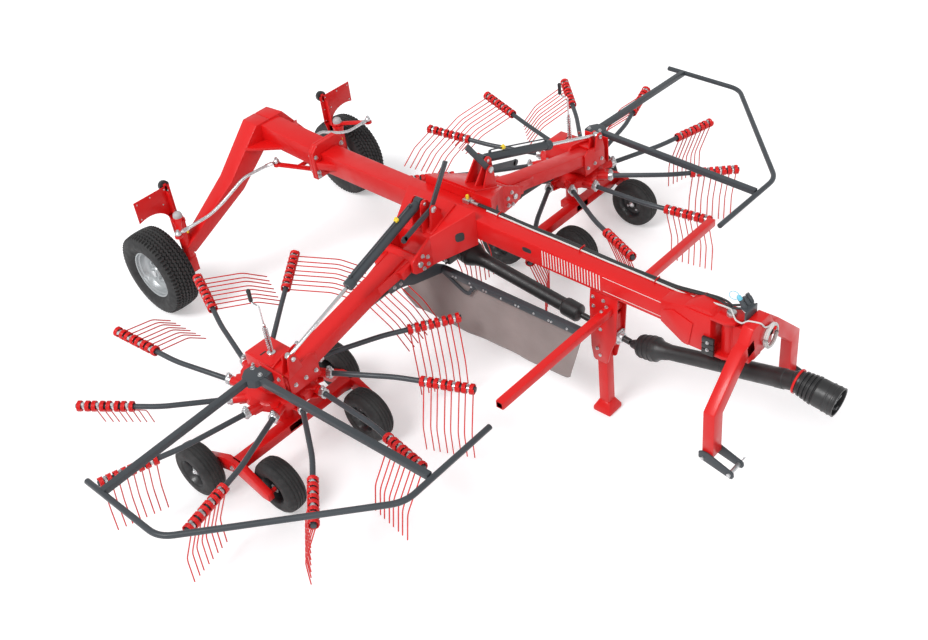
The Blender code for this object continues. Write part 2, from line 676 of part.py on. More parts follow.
def steering():
    ring = turned([(0.022 + runFit, -0.0125), (0.045, -0.0125), (0.045, 0.0125), (0.022 + runFit, 0.0125)],
                  (crankX, 0, crankZ), (0, 0, 1), 20)
    solids = [ring]
    for s in (-1, 1):
        start = Vector((crankX, 0, crankZ))
        end = Vector((crankEndX, s * crankEndY, crankZ))
        along = (end - start).normalized()
        solids.append(bar([start + along * 0.035, end], 0.045, 0.02))
        solids.append(turned([(0, -0.011), (0.03, -0.011), (0.03, 0.011), (0, 0.011)], end, (0, 0, 1), 16))
    solids.append(bar([(crankX - 0.16, -0.07, crankZ), (crankX - 0.16, 0.07, crankZ)], 0.04, 0.018, up=(0, 0, 1)))
    node('steering_crank', solids, red, pivot=(crankX, 0, crankZ))
    for side, s in sides:
        inner = Vector((crankEndX, s * crankEndY, crankZ + 0.011 + seat + 0.016))
        outer = Vector((armKnuckleX, s * armKnuckleY, kingTopZ + 0.022 + seat + 0.016))
        line = [inner, inner.lerp(outer, 0.06) + Vector((0, 0, 0.017)), inner.lerp(outer, 0.30) + Vector((0, 0, 0.07)),
                inner.lerp(outer, 0.68) + Vector((0, 0, 0.035)), outer]
        rod = [tube(line, 0.013, 10)]
        for p in (inner, outer):
            rod.append(turned([(0, -0.016), (0.024, -0.016), (0.024, 0.018), (0.012, 0.024), (0, 0.024)], p, (0, 0, 1), 12))
        node(f'tie_rod_{side}', rod, zinc, pivot=outer)


signX = -2.130
def signBoard(side, s):
    outline = [(0.823, 0.825), (0.823, 1.085), (1.170, 1.085), (1.170, 0.895), (1.121, 0.907), (1.062, 0.911),
               (0.999, 0.899), (0.945, 0.869), (0.909, 0.825)]
    solids = [slab('x', [(s * y, z) for y, z in outline], signX - 0.003, signX + 0.003),
              block(signX + 0.002, signX + 0.05, s * (kingY - 0.02), s * (kingY - 0.008), 0.655, 1.045),
              block(signX - 0.003, kingX - 0.036, s * (kingY - 0.02), s * (kingY + 0.02), 0.66, 0.80),
              turned([(0, -0.05), (0.043, -0.05), (0.045, -0.01), (0, -0.01)], (signX, s * 0.858, 1.105), (1, 0, 0), 20),
              block(signX - 0.02, signX + 0.003, s * 0.845, s * 0.871, 1.055, 1.13)]
    cut = turned([(0, 0.5), (kingHousingR + seat, 0.5), (kingHousingR + seat, 0.9), (0, 0.9)], (kingX, s * kingY, 0), (0, 0, 1), 20)
    node(f'sign_board_{side}', solids, red, cuts=[cut])


def headstock():
    forkLow, forkTop = forkHeights()
    low, top = forkLow + 0.02, forkTop - 0.02
    ringLow, ringTop = low + 0.001, top - 0.001
    ring = turned([(yokePinR + runFit, ringLow), (yokeTubeR, ringLow), (yokeTubeR, ringTop),
                   (yokePinR + runFit, ringTop)], (yokePivotX, 0, 0), (0, 0, 1), 20)
    solids = [ring, block(yokePivotX + 0.035, yokeX + 0.02, -0.045, 0.045, low + 0.03, top - 0.01)]
    head = [(-legTopY, yokeTopZ - 0.15), (legTopY, yokeTopZ - 0.15), (legTopY + 0.03, yokeTopZ - 0.02),
            (0.09, yokeTopZ + 0.09), (-0.09, yokeTopZ + 0.09), (-legTopY - 0.03, yokeTopZ - 0.02)]
    solids.append(slab('x', head, yokeX - yokeThick / 2, yokeX + yokeThick / 2))
    for s in (-1, 1):
        path = [(yokeX, s * 0.07, yokeTopZ - 0.035), (yokeX, s * (legTopY + 0.05), yokeTopZ - 0.06),
                (yokeX, s * (legKneeY - 0.02), legKneeZ), (yokeX, s * (legKneeY - 0.02), legFootZ)]
        solids.append(bar(path, legWide, yokeThick, up=(1, 0, 0)))
    node('headstock_yoke', solids, red, pivot=(yokePivotX, 0, armPivotZ))
    for side, s in sides:
        y = s * (legKneeY - 0.02)
        rear, front = yokeX - 0.02, yokeX + clevisReach
        solids = []
        clevisHalf = legWide / 2 + seat + clevisThick / 2
        for off in (-clevisHalf, clevisHalf):
            outline = [(rear - 0.035, legFootZ + 0.03), (rear - 0.035, legFootZ - 0.03), (rear, legFootZ - 0.042),
                       (front, legFootZ - 0.085), (front + 0.025, legFootZ - 0.06), (front + 0.02, legFootZ - 0.02),
                       (rear + 0.02, legFootZ + 0.04)]
            solids.append(slab('y', outline, y + off - clevisThick / 2, y + off + clevisThick / 2))
        solids.append(tube([(front - 0.005, y - clevisHalf - 0.015, legFootZ - 0.052),
                            (front - 0.005, y + clevisHalf + 0.015, legFootZ - 0.052)], 0.014, 12))
        solids.append(tube([(rear - 0.005, y - clevisHalf - 0.012, legFootZ - 0.018),
                            (rear - 0.005, y + clevisHalf + 0.012, legFootZ - 0.018)], 0.012, 12))
        node(f'hitch_clevis_{side}', solids, anthracite)


# the rear shaft's axis, from the gearbox to the bearing on the stand's bracket
def rearShaftLine():
    stub = Vector((gearX + 0.14, 0, gearZ))
    joint = Vector((ptoJointX, 0, ptoJointZ))
    return stub, joint, (joint - stub).normalized()


def driveLine():
    joint = Vector((ptoJointX, 0, ptoJointZ))
    cone = Vector((ptoConeX, 0, ptoConeZ))
    along = (cone - joint).normalized()
    far = ptoLong
    ball = [(ballR * math.sin(t), -ballR * math.cos(t)) for t in (0, 0.5, 1.0, 1.57)]
    shaft = ball + [(0.036, 0.02), (0.082, 0.10), (0.082, 0.20), (0.055, 0.28),
             (0.052, 0.70), (0.062, 0.71), (0.062, far - 0.03), (0.078, far - 0.02), (0.078, far + 0.02), (0, far + 0.02)]
    hang = Vector((math.cos(ptoHang), 0, math.sin(ptoHang)))
    guard = [(0, -0.015), (0.070, -0.015), (0.085, 0.06), (ptoGuardR, 0.10), (ptoGuardR, ptoGuardLong),
             (ptoGuardR - 0.010, ptoGuardLong), (ptoGuardR - 0.012, 0.09), (0.03, 0.09), (0.03, 0.21), (0, 0.21)]
    node('pto_shaft_front', [turned(shaft, joint, along, 16), turned(guard, cone, hang, 16)], blackPlastic, pivot=joint)
    stub, joint, back = rearShaftLine()
    long = (joint - stub).length - ballR - seat
    rear = [(0, 0.0), (0.04, 0.0), (0.095, 0.03), (0.095, 0.10), (0.055, 0.19), (0.050, 0.24),
            (0.050, long - 0.55), (0.065, long - 0.53), (0.065, long - 0.43), (shaftR, long - 0.40),
            (shaftR, long), (0, long)]
    node('pto_shaft_rear', [turned(rear, stub, back, 16)], blackPlastic)
    g = 0.11
    box = [block(gearX - g, gearX + g, -g, g, gearZ - g, gearZ + g),
           slab('y', [(gearX - 0.07, gearZ + g - 0.01), (gearX + 0.07, gearZ + g - 0.01),
                      (gearX + 0.07, beamLow(gearX + 0.07) - seat), (gearX - 0.07, beamLow(gearX - 0.07) - seat)],
                -0.07, 0.07),
           tube([stub - back * 0.05, stub - back * seat], 0.05, 16)]
    for s in (-1, 1):
        box.append(tube([(gearX, s * (g - 0.01), gearZ), (gearX, s * 0.27, gearZ - 0.01)], 0.050, 16))
    node('centre_gearbox', box, blackPlastic)


def crossShaftLine(s):
    a = Vector((gearX, s * 0.31, gearZ - 0.01))
    b = Vector((rotorX + 0.03, s * (rotorY - 0.235), 0.765))
    return a, b, (b - a).normalized()


def crossShaft(side, s):
    a, b, along = crossShaftLine(s)
    far = (b - a).length
    rows = [(0, 0), (0.05, 0), (0.07, 0.03), (0.07, 0.12), (0.045, 0.16), (0.04, 0.20), (0.04, far - 0.22),
            (0.055, far - 0.18), (0.06, far - 0.10), (0.03, far - 0.06), (0.03, far), (0, far)]
    node(f'cross_shaft_{side}', [turned(rows, a, along, 16)], blackPlastic)


def standParts():
    low = beamLow(standX)
    x0, x1 = standX - 0.06, standX + 0.16
    outline = [(x0, beamLow(x0) - seat), (x1, beamLow(x1) - seat), (standX + 0.13, standPivotZ + 0.17),
               (standX + 0.075, standPivotZ + 0.04), (standX + 0.06, standPivotZ - 0.06), (standX - 0.06, standPivotZ - 0.06),
               (standX - 0.075, standPivotZ + 0.05), (standX - 0.075, low - 0.15)]
    inner = standSide / 2 + standGap
    solids = []
    for s in (-1, 1):
        solids.append(slab('y', outline, s * inner, s * (inner + plate)))
    cap = [(x0 + 0.01, low - 0.025), (x1 - 0.01, low - 0.025), (x1 - 0.01, beamLow(x1) - 0.002), (x0 + 0.01, beamLow(x1) - 0.002)]
    solids.append(slab('y', cap, -inner - 0.001, inner + 0.001))
    solids.append(block(standX + 0.105, standX + 0.12, -inner - 0.001, inner + 0.001, standPivotZ + 0.13, low - 0.19))
    solids.append(tube([(standX, -inner - 0.02, standPivotZ), (standX, inner + 0.02, standPivotZ)], 0.012, 14))
    stub, joint, back = rearShaftLine()
    bore = tube([joint - back * 0.5, joint], shaftR + runFit, 16)
    h = barSide / 2 + seat
    slot = block(barX - h, barX + h + 0.1, -0.2, 0.2, barZ - h, barZ + h)
    node('stand_bracket', solids, red, cuts=[slot, bore])
    leg = block(standX - standSide / 2, standX + standSide / 2, -standSide / 2, standSide / 2, 0.03, standPivotZ + 0.05)
    foot = bar([(standX, 0, 0), (standX, 0, 0.045), (standX, 0, 0.10)], 0.15, 0.15, up=(1, 0, 0), scales=(1, 0.98, 0.535))
    hole = tube([(standX, -0.1, standPivotZ), (standX, 0.1, standPivotZ)], 0.012 + runFit, 14)
    node('parking_stand', [leg, foot], red, pivot=(standX, 0, standPivotZ), cuts=[hole])
    h = barSide / 2
    node('front_guard_bar', [block(barX - h, barX + h, -barHalf, barHalf, barZ - h, barZ + h)], red)
    # flanged bearing on the bracket's front plate
    bore2 = tube([joint - back * 0.5, joint], shaftR + runFit, 16)
    plateX = standX + 0.12 + seat
    height = ptoJointZ - (ptoJointX - plateX) * back.z / back.x
    solids = [block(plateX, plateX + 0.014, -inner + seat, inner - seat, height - 0.05, height + 0.05),
              tube([(plateX + 0.01, 0, height), (plateX + 0.04, 0, height)], 0.036, 16)]
    node('shaft_bearing', solids, zinc, cuts=[bore2])


def curtainParts():
    face = armCentreX + armWidth / 2 + seat
    rail = [(face, curtainY, curtainBarZ), (curtainFrontX, curtainY, curtainBarZ - 0.012)]
    # cranked bracket, bolted to the front of the right arm
    bracket = [(-0.725, 1.080), (-0.756, 0.990), (-0.737, 0.950), (-0.661, 0.947), (-0.593, 0.929), (-0.515, 0.892),
               (-0.420, 0.870), (curtainY - 0.02, curtainBarZ - 0.024), (curtainY + 0.024, curtainBarZ - 0.024),
               (curtainY + 0.024, curtainBarZ + 0.024), (-0.309, 0.955), (-0.40, 0.985), (-0.510, 0.993),
               (-0.572, 1.018), (-0.664, 1.020), (-0.697, 1.080)]
    solids = [bar(rail, 0.05, 0.05), slab('x', bracket, face, face + 0.010)]
    node('curtain_bar', solids, anthracite)
    rear = face + 0.005
    drop = 0.012 / (curtainFrontX - face)
    under = curtainBarZ - 0.0252 - seat
    sheet = [(rear, under - drop * (rear - face)), (curtainFrontX - 0.02, under - drop * (curtainFrontX - 0.02 - face)),
             (curtainFrontX - 0.15, 0.41), (curtainFrontX - 0.20, 0.357), (-0.095, 0.338), (-0.225, 0.455), (0.20, 0.79)]
    node('curtain', [slab('y', sheet, curtainY - 0.003, curtainY + 0.003)], curtainCloth)


def lockLever(side, s):
    pivot = Vector((leverX, s * 0.301, 1.43))
    solids = [bar([(leverX, s * 0.585, 1.337), pivot, (leverX, s * 0.108, 1.708)], 0.045, leverThick, up=(1, 0, 0))]
    node(f'lock_lever_{side}', solids, anthracite)


def heightCrank(side, s):
    base = Vector((rotorX, s * rotorY, housingTopZ + seat))
    rows = [(0, 0), (0.03, 0), (0.03, 0.03), (0.012, 0.04), (0.012, 0.12), (0.020, 0.13), (0.020, 0.24), (0.011, 0.25),
            (0.011, 0.40), (0, 0.40)]
    solids = [turned(rows, base, (0, 0, 1), 12),
              tube([base + Vector((0, 0, 0.39)), base + Vector((-0.08, 0, 0.39))], 0.009, 8),
              tube([base + Vector((-0.075, 0, 0.385)), base + Vector((-0.075, 0, 0.50))], 0.014, 8)]
    node(f'height_crank_{side}', solids, zinc)


clearScene()
root = bpy.data.objects.new('rake_origin', None)
bpy.context.scene.collection.objects.link(root)
root.location = (-originX, 0, 0)

mainBeam()
rearFrame()
steering()
headstock()
driveLine()
standParts()
curtainParts()
for side, s in sides:
    armBracket(f'arm_bracket_{side}', s)
    liftCylinder(side, s)
    rotorArm(side, s)
    rotorHead(side, s)
    heightCrank(side, s)
    guardFrame(side, s)
    rotorChassis(side, s)
    rotorWheels(side, s)
    rotor(side, s)
    crossShaft(side, s)
    knuckle(side, s)
    rearWheel(side, s)
    signBoard(side, s)
    lockLever(side, s)
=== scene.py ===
import bpy
import bmesh
from math import atan2, copysign, cos, pi, radians, sin
from mathutils import Matrix, Vector


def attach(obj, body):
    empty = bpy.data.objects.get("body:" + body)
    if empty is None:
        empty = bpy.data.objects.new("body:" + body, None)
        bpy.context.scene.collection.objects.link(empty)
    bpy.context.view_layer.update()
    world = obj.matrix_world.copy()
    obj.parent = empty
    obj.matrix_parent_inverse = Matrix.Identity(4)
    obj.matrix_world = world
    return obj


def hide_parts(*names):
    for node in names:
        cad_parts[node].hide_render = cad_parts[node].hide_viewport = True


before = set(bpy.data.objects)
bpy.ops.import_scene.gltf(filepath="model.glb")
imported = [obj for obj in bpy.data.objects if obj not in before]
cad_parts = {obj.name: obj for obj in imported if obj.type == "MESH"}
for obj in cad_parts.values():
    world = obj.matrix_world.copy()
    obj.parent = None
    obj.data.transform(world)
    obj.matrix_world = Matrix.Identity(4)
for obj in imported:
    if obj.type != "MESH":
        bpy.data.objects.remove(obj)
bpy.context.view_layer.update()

print('frame loaded')

# the part's own source counts x from the rear of the arms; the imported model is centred
shiftX = -0.327857


# adds a node to a tree; an input given as a socket is linked, any other value is set
def addNode(tree, kind, inputs=None, **facts):
    made = tree.nodes.new(kind)
    for key, value in facts.items():
        setattr(made, key, value)
    for key, value in (inputs or {}).items():
        if isinstance(value, bpy.types.NodeSocket):
            tree.links.new(value, made.inputs[key])
        else:
            made.inputs[key].default_value = value
    return made


def placed(name, data):
    ob = bpy.data.objects.new(name, data)
    bpy.context.scene.collection.objects.link(ob)
    return ob


# a material on the object's own coordinates, with the few node groups that all of them use
class Shader:
    def __init__(self, name, colour, rough, metal=0.0, coat=0.0, coatRough=0.1, sheen=0.0):
        self.material = bpy.data.materials.new(name)
        self.material.use_nodes = True
        self.tree = self.material.node_tree
        self.base = self.tree.nodes['Principled BSDF']
        self.set('Base Color', (*colour, 1))
        self.set('Roughness', rough)
        self.set('Metallic', metal)
        self.set('Coat Weight', coat)
        self.set('Coat Roughness', coatRough)
        self.set('Sheen Weight', sheen)
        self.coords = self.tree.nodes.new('ShaderNodeTexCoord')

    def set(self, socket, value):
        self.base.inputs[socket].default_value = value

    def add(self, kind, inputs=None, **facts):
        return addNode(self.tree, 'ShaderNode' + kind, inputs, **facts)

    def link(self, start, socket):
        self.tree.links.new(start, self.base.inputs[socket])

    def place(self):
        return self.coords.outputs['Object']

    def noise(self, scale, detail=3.0, rough=0.5):
        return self.add('TexNoise', {'Vector': self.place(), 'Scale': scale, 'Detail': detail,
                                     'Roughness': rough}).outputs['Fac']

    def spread(self, fac, low, high, start=0.35, end=0.65):
        return self.add('MapRange', {'Value': fac, 'From Min': start, 'From Max': end,
                                     'To Min': low, 'To Max': high}).outputs['Result']

    def tint(self, fac, dark, pale):
        ramp = self.add('ValToRGB', {'Fac': fac})
        ramp.color_ramp.elements[0].position, ramp.color_ramp.elements[1].position = 0.3, 0.7
        ramp.color_ramp.elements[0].color = (*dark, 1)
        ramp.color_ramp.elements[1].color = (*pale, 1)
        self.link(ramp.outputs['Color'], 'Base Color')

    def bump(self, height, strength, distance):
        out = self.add('Bump', {'Height': height, 'Strength': strength, 'Distance': distance})
        self.link(out.outputs['Normal'], 'Normal')


def shades(colour, amount):
    return [tuple(c * (1 + sign * amount) for c in colour) for sign in (-1, 1)]


redValues = {'colour': (0.66, 0.007, 0.007), 'rough': 0.36, 'coat': 0.10, 'variation': 0.03}
greyValues = {'colour': (0.052, 0.060, 0.068), 'rough': 0.36, 'coat': 0.0, 'variation': 0.12}
rubberValues = {'colour': (0.020, 0.020, 0.021), 'rough': 0.72}
plasticValues = {'colour': (0.018, 0.018, 0.019), 'rough': 0.42}
clothValues = {'colour': (0.27, 0.22, 0.21), 'rough': 0.85, 'threads': 420}


# paint, rubber and plastic: a slow drift between two tones, uneven gloss and a fine relief
def finish(shader, tones, tone, gloss, relief):
    shader.tint(shader.noise(*tone), *tones)
    scale, low, high = gloss
    shader.link(shader.spread(shader.noise(scale), low, high), 'Roughness')
    scale, detail, strength, distance = relief
    shader.bump(shader.noise(scale, detail), strength, distance)
    return shader.material


# sprayed enamel, with a faint orange peel
def enamel(name, values):
    rough = values['rough']
    s = Shader(name, values['colour'], rough, coat=values['coat'], coatRough=0.08)
    s.set('Specular IOR Level', 0.35)
    return finish(s, shades(values['colour'], values['variation']), (1.7, 2.0), (9.0, rough - 0.06, rough + 0.08),
                  (160.0, 1.0, 0.02, 0.0005))


def tyreRubber():
    s = Shader('tyre rubber', rubberValues['colour'], rubberValues['rough'])
    return finish(s, ((0.015, 0.015, 0.016), (0.028, 0.028, 0.028)), (6.0,), (25.0, 0.62, 0.80),
                  (260.0, 2.0, 0.25, 0.001))


def guardPlastic():
    s = Shader('guard plastic', plasticValues['colour'], plasticValues['rough'])
    return finish(s, ((0.014, 0.014, 0.015), (0.026, 0.026, 0.027)), (5.0,), (30.0, 0.34, 0.50),
                  (420.0, 1.0, 0.12, 0.0006))


def plainFinish(name, colour, rough, metal=0.0, variation=0.08, grain=60.0, coat=0.0):
    s = Shader(name, colour, rough, metal=metal, coat=coat)
    return finish(s, shades(colour, variation), (4.0, 2.0), (grain, rough - 0.05, rough + 0.08),
                  (grain * 5, 1.0, 0.06, 0.0006))


# zinc plate: crystals of two greys
def zincPlated():
    s = Shader('zinc plate', (0.60, 0.61, 0.62), 0.33, metal=0.9)
    spangle = s.add('TexVoronoi', {'Vector': s.place(), 'Scale': 90.0}).outputs['Distance']
    s.tint(spangle, (0.50, 0.51, 0.52), (0.68, 0.69, 0.70))
    s.link(s.spread(s.noise(40.0), 0.26, 0.42), 'Roughness')
    return s.material


# woven cloth: two crossed waves
def curtainCloth():
    s = Shader('curtain cloth', clothValues['colour'], clothValues['rough'], sheen=0.25)
    split = s.add('SeparateXYZ', {'Vector': s.place()})
    wave = []
    for axis in ('X', 'Z'):
        step = s.add('Math', {0: split.outputs[axis], 1: clothValues['threads']}, operation='MULTIPLY')
        wave.append(s.add('Math', {0: step.outputs[0]}, operation='SINE').outputs[0])
    weave = s.add('Math', {0: wave[0], 1: wave[1]}, operation='MULTIPLY').outputs[0]
    s.tint(s.noise(3.0), *shades(clothValues['colour'], 0.12))
    s.bump(weave, 0.35, 0.0012)
    return s.material


# twisted rope: the strands are a fine slanting wave across the object's own coordinates
def twistedRope():
    s = Shader('white rope', (0.72, 0.72, 0.70), 0.75, sheen=0.2)
    wave = s.add('TexWave', {'Vector': s.place(), 'Scale': 95.0, 'Distortion': 1.5}, bands_direction='DIAGONAL')
    # the colour follows the same wave as the relief, darker in the grooves between the strands: painted shade
    s.tint(wave.outputs['Fac'], (0.55, 0.55, 0.54), (0.80, 0.80, 0.78))
    s.bump(wave.outputs['Fac'], 0.6, 0.001)
    return s.material


redPaint = enamel('red paint', redValues)
greyPaint = enamel('anthracite paint', greyValues)
zinc = zincPlated()
rubber = tyreRubber()
plastic = guardPlastic()
cloth = curtainCloth()
silverRim = plainFinish('silver rim paint', (0.40, 0.42, 0.43), 0.38, metal=0.55, variation=0.06, coat=0.2)
blackPaint = plainFinish('black wheel paint', (0.020, 0.021, 0.023), 0.38, coat=0.2)
chrome = plainFinish('chrome', (0.72, 0.73, 0.74), 0.16, metal=1.0, variation=0.03)
whitePaint = plainFinish('white line paint', (0.80, 0.80, 0.79), 0.45, variation=0.03)
greyPlastic = plainFinish('grey cap plastic', (0.42, 0.43, 0.44), 0.42)
yellowPlastic = plainFinish('yellow cap plastic', (0.85, 0.62, 0.03), 0.42)
bluePlastic = plainFinish('blue cap plastic', (0.16, 0.55, 0.72), 0.42)
lampGlass = plainFinish('lamp lens', (0.30, 0.10, 0.09), 0.16, coat=0.6)
hoseRubber = plainFinish('hose rubber', (0.026, 0.027, 0.028), 0.58, grain=140.0)
whiteRope = twistedRope()
print('materials made')

nodeFinish = (
    (greyPaint, ('guard_frame', 'lock_lever', 'lift_barrel', 'hitch_clevis', 'curtain_bar')),
    (zinc, ('lift_rod', 'tie_rod', 'rear_rim', 'height_crank', 'shaft_bearing')),
    (rubber, ('rear_tyre', 'rotor_wheel')),
    (plastic, ('pto_shaft', 'centre_gearbox', 'cross_shaft')),
)
for name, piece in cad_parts.items():
    look = cloth if name == 'curtain' else redPaint
    for material, starts in nodeFinish:
        if name.startswith(starts):
            look = material
    piece.data.materials.clear()
    piece.data.materials.append(look)
print('nodes finished')

xAxis, zAxis = (1, 0, 0), (0, 0, 1)


# the axes of a swept outline at one point: along the path, and across it
def crossAxes(along, up):
    side = Vector(up).cross(along)
    if side.length < 1e-6:
        side = Vector(xAxis).cross(along)
    side.normalize()
    return side, along.cross(side).normalized()


def circle(radius, sides):
    return [(radius * cos(2 * pi * (k + 0.5) / sides), radius * sin(2 * pi * (k + 0.5) / sides))
            for k in range(sides)]


# a rounded oval: half length and half height, each with how square its ends are
def oval(long, longPower, high, highPower, count):
    turns = [2 * pi * k / count for k in range(count)]
    return [(long * copysign(abs(cos(t)) ** longPower, cos(t)),
             high * copysign(abs(sin(t)) ** highPower, sin(t))) for t in turns]


# profiles for a turned form: a solid round post, and a sleeve with a bore
def post(radius, low, high):
    return [(0, low), (radius, low), (radius, high), (0, high)]


def sleeve(bore, radius, low, high):
    return [(bore, low), (radius, low), (radius, high), (bore, high)]


# an outline on one side of the machine: its first value, or its second, changes sign with the side
def mirrored(s, outline, second=False):
    return [(a, s * b) if second else (s * a, b) for a, b in outline]


# rounds the corners of a path, so that a tube bends instead of folding
def bent(points, reach, steps=4):
    pts = [Vector(p) for p in points]
    out = [pts[0]]
    for before, corner, after in zip(pts, pts[1:], pts[2:]):
        a = corner + (before - corner).normalized() * min(reach, (before - corner).length * 0.45)
        b = corner + (after - corner).normalized() * min(reach, (after - corner).length * 0.45)
        for k in range(steps + 1):
            t = k / steps
            out.append(a * (1 - t) ** 2 + corner * 2 * t * (1 - t) + b * t * t)
    return out + [pts[-1]]


sharpTurn, tiny = 0.62, 1e-9  # edges that turn more than this many radians are rounded; below tiny is zero


# a form gathers closed shells, each with its edges rounded, and becomes one piece on one body
class Form:
    def __init__(self, name, edge=0.003):
        self.name, self.edge = name, edge
        self.bm = bmesh.new()

    def take(self, shell, edge=None):
        width = self.edge if edge is None else edge
        bmesh.ops.recalc_face_normals(shell, faces=shell.faces)
        if width:
            sharp = [e for e in shell.edges if e.is_manifold and e.calc_face_angle() > sharpTurn]
            if sharp:
                bmesh.ops.bevel(shell, geom=sharp, offset=width, segments=2, profile=0.5, affect='EDGES',
                                clamp_overlap=True)
        mesh = bpy.data.meshes.new('shell')
        shell.to_mesh(mesh)
        shell.free()
        self.add(mesh)

    def add(self, mesh):
        self.bm.from_mesh(mesh)
        bpy.data.meshes.remove(mesh)

    # a closed shell through rings of points: capped at both ends, or running round to its start
    def skin(self, rings, edge=None, runsRound=False):
        bm = bmesh.new()
        rings = [[bm.verts.new(p) for p in ring] for ring in rings]
        for low, high in zip(rings, rings[1:] + (rings[:1] if runsRound else [])):
            for k in range(len(low)):
                n = (k + 1) % len(low)
                bm.faces.new((low[k], low[n], high[n], high[k]))
        if not runsRound:
            bm.faces.new(list(reversed(rings[0])))
            bm.faces.new(rings[-1])
        self.take(bm, edge)

    def sweep(self, points, outline, up=zAxis, scales=None, edge=None):
        pts = [Vector(p) for p in points]
        rings = []
        for i, p in enumerate(pts):
            before = (p - pts[i - 1]).normalized() if i else None
            after = (pts[i + 1] - p).normalized() if i < len(pts) - 1 else None
            along = before or after
            side, over = crossAxes(along, up)
            cut = (before + after).normalized() if before and after else along
            grow = scales[i] if scales else 1.0
            across = [(side * a + over * b) * grow for a, b in outline]
            rings.append([p + q - along * (q.dot(cut) / along.dot(cut)) for q in across])
        self.skin(rings, edge)

    def tube(self, points, radius, sides=14, up=zAxis, edge=0.0015):
        self.sweep(points, circle(radius, sides), up, edge=edge)

    def wire(self, points, radius, sides=6, up=zAxis):
        self.sweep(points, circle(radius, sides), up, edge=0)

    def bar(self, points, width, height, up=zAxis, scales=None, edge=None):
        w, h = width / 2, height / 2
        self.sweep(points, sleeve(-w, w, -h, h), up, scales, edge)

    def block(self, x0, x1, y0, y1, z0, z1, edge=None):
        bm = bmesh.new()
        bmesh.ops.create_cube(bm, size=1)
        bmesh.ops.scale(bm, vec=(abs(x1 - x0), abs(y1 - y0), abs(z1 - z0)), verts=bm.verts)
        bmesh.ops.translate(bm, vec=((x0 + x1) / 2, (y0 + y1) / 2, (z0 + z1) / 2), verts=bm.verts)
        self.take(bm, edge)

    # a plate cut to an outline; the outline's axes are the other two, in order
    def slab(self, axis, outline, start, end, edge=None):
        k = 'xyz'.index(axis)
        rings = [[(a, b)[:k] + (h,) + (a, b)[k:] for a, b in outline] for h in (start, end)]
        self.skin(rings, edge)

    # a profile of (radius, height) rows turned round an axis; on the axis it is solid, else a ring
    def turned(self, rows, centre, axis, sides=28, edge=0.0):
        axis = Vector(axis).normalized()
        side, over = crossAxes(axis, zAxis if abs(axis.z) < 0.9 else xAxis)
        centre = Vector(centre)
        solid = rows[0][0] < tiny
        bm = bmesh.new()
        step = 2 * pi / sides
        rings = []
        for r, h in rows:
            count = 1 if r < tiny else sides
            rings.append([bm.verts.new(centre + axis * h + side * r * cos(step * k) + over * r * sin(step * k))
                          for k in range(count)])
        for low, high in zip(rings, rings[1:] if solid else rings[1:] + rings[:1]):
            for k in range(sides):
                n = (k + 1) % sides
                loop = list(dict.fromkeys((low[k % len(low)], low[n % len(low)], high[n % len(high)],
                                           high[k % len(high)])))
                bm.faces.new(loop)
        self.take(bm, edge)

    def lean(self, centre, angle):
        c = Vector(centre)
        self.bm.transform(Matrix.Translation(c) @ Matrix.Rotation(angle, 4, 'Y') @ Matrix.Translation(-c))

    def done(self, material, body, replaces=(), smooth=38):
        self.bm.transform(Matrix.Translation((shiftX, 0, 0)))
        mesh = bpy.data.meshes.new(self.name)
        self.bm.to_mesh(mesh)
        self.bm.free()
        for polygon in mesh.polygons:
            polygon.material_index = 0
        mesh.materials.clear()
        mesh.materials.append(material)
        mesh.shade_smooth()
        mesh.set_sharp_from_angle(angle=radians(smooth))
        piece = placed(self.name, mesh)
        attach(piece, body)
        if replaces:
            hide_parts(*replaces)
        return piece


def newTree(name, sockets):
    tree = bpy.data.node_groups.new(name, 'GeometryNodeTree')
    tree.interface.new_socket(name='Geometry', in_out='INPUT', socket_type='NodeSocketGeometry')
    for label, kind in sockets:
        tree.interface.new_socket(name=label, in_out='INPUT', socket_type='NodeSocket' + kind)
    tree.interface.new_socket(name='Geometry', in_out='OUTPUT', socket_type='NodeSocketGeometry')
    start, end = tree.nodes.new('NodeGroupInput'), tree.nodes.new('NodeGroupOutput')

    def add(kind, inputs=None, **facts):
        return addNode(tree, kind, inputs, **facts)
    return tree, start, end, add


def closeTree(tree, start, end, add, instances):
    real = add('GeometryNodeRealizeInstances', {'Geometry': instances})
    dressed = add('GeometryNodeSetMaterial', {'Geometry': real.outputs[0], 'Material': start.outputs['Material']})
    tree.links.new(dressed.outputs[0], end.inputs[0])
    return tree


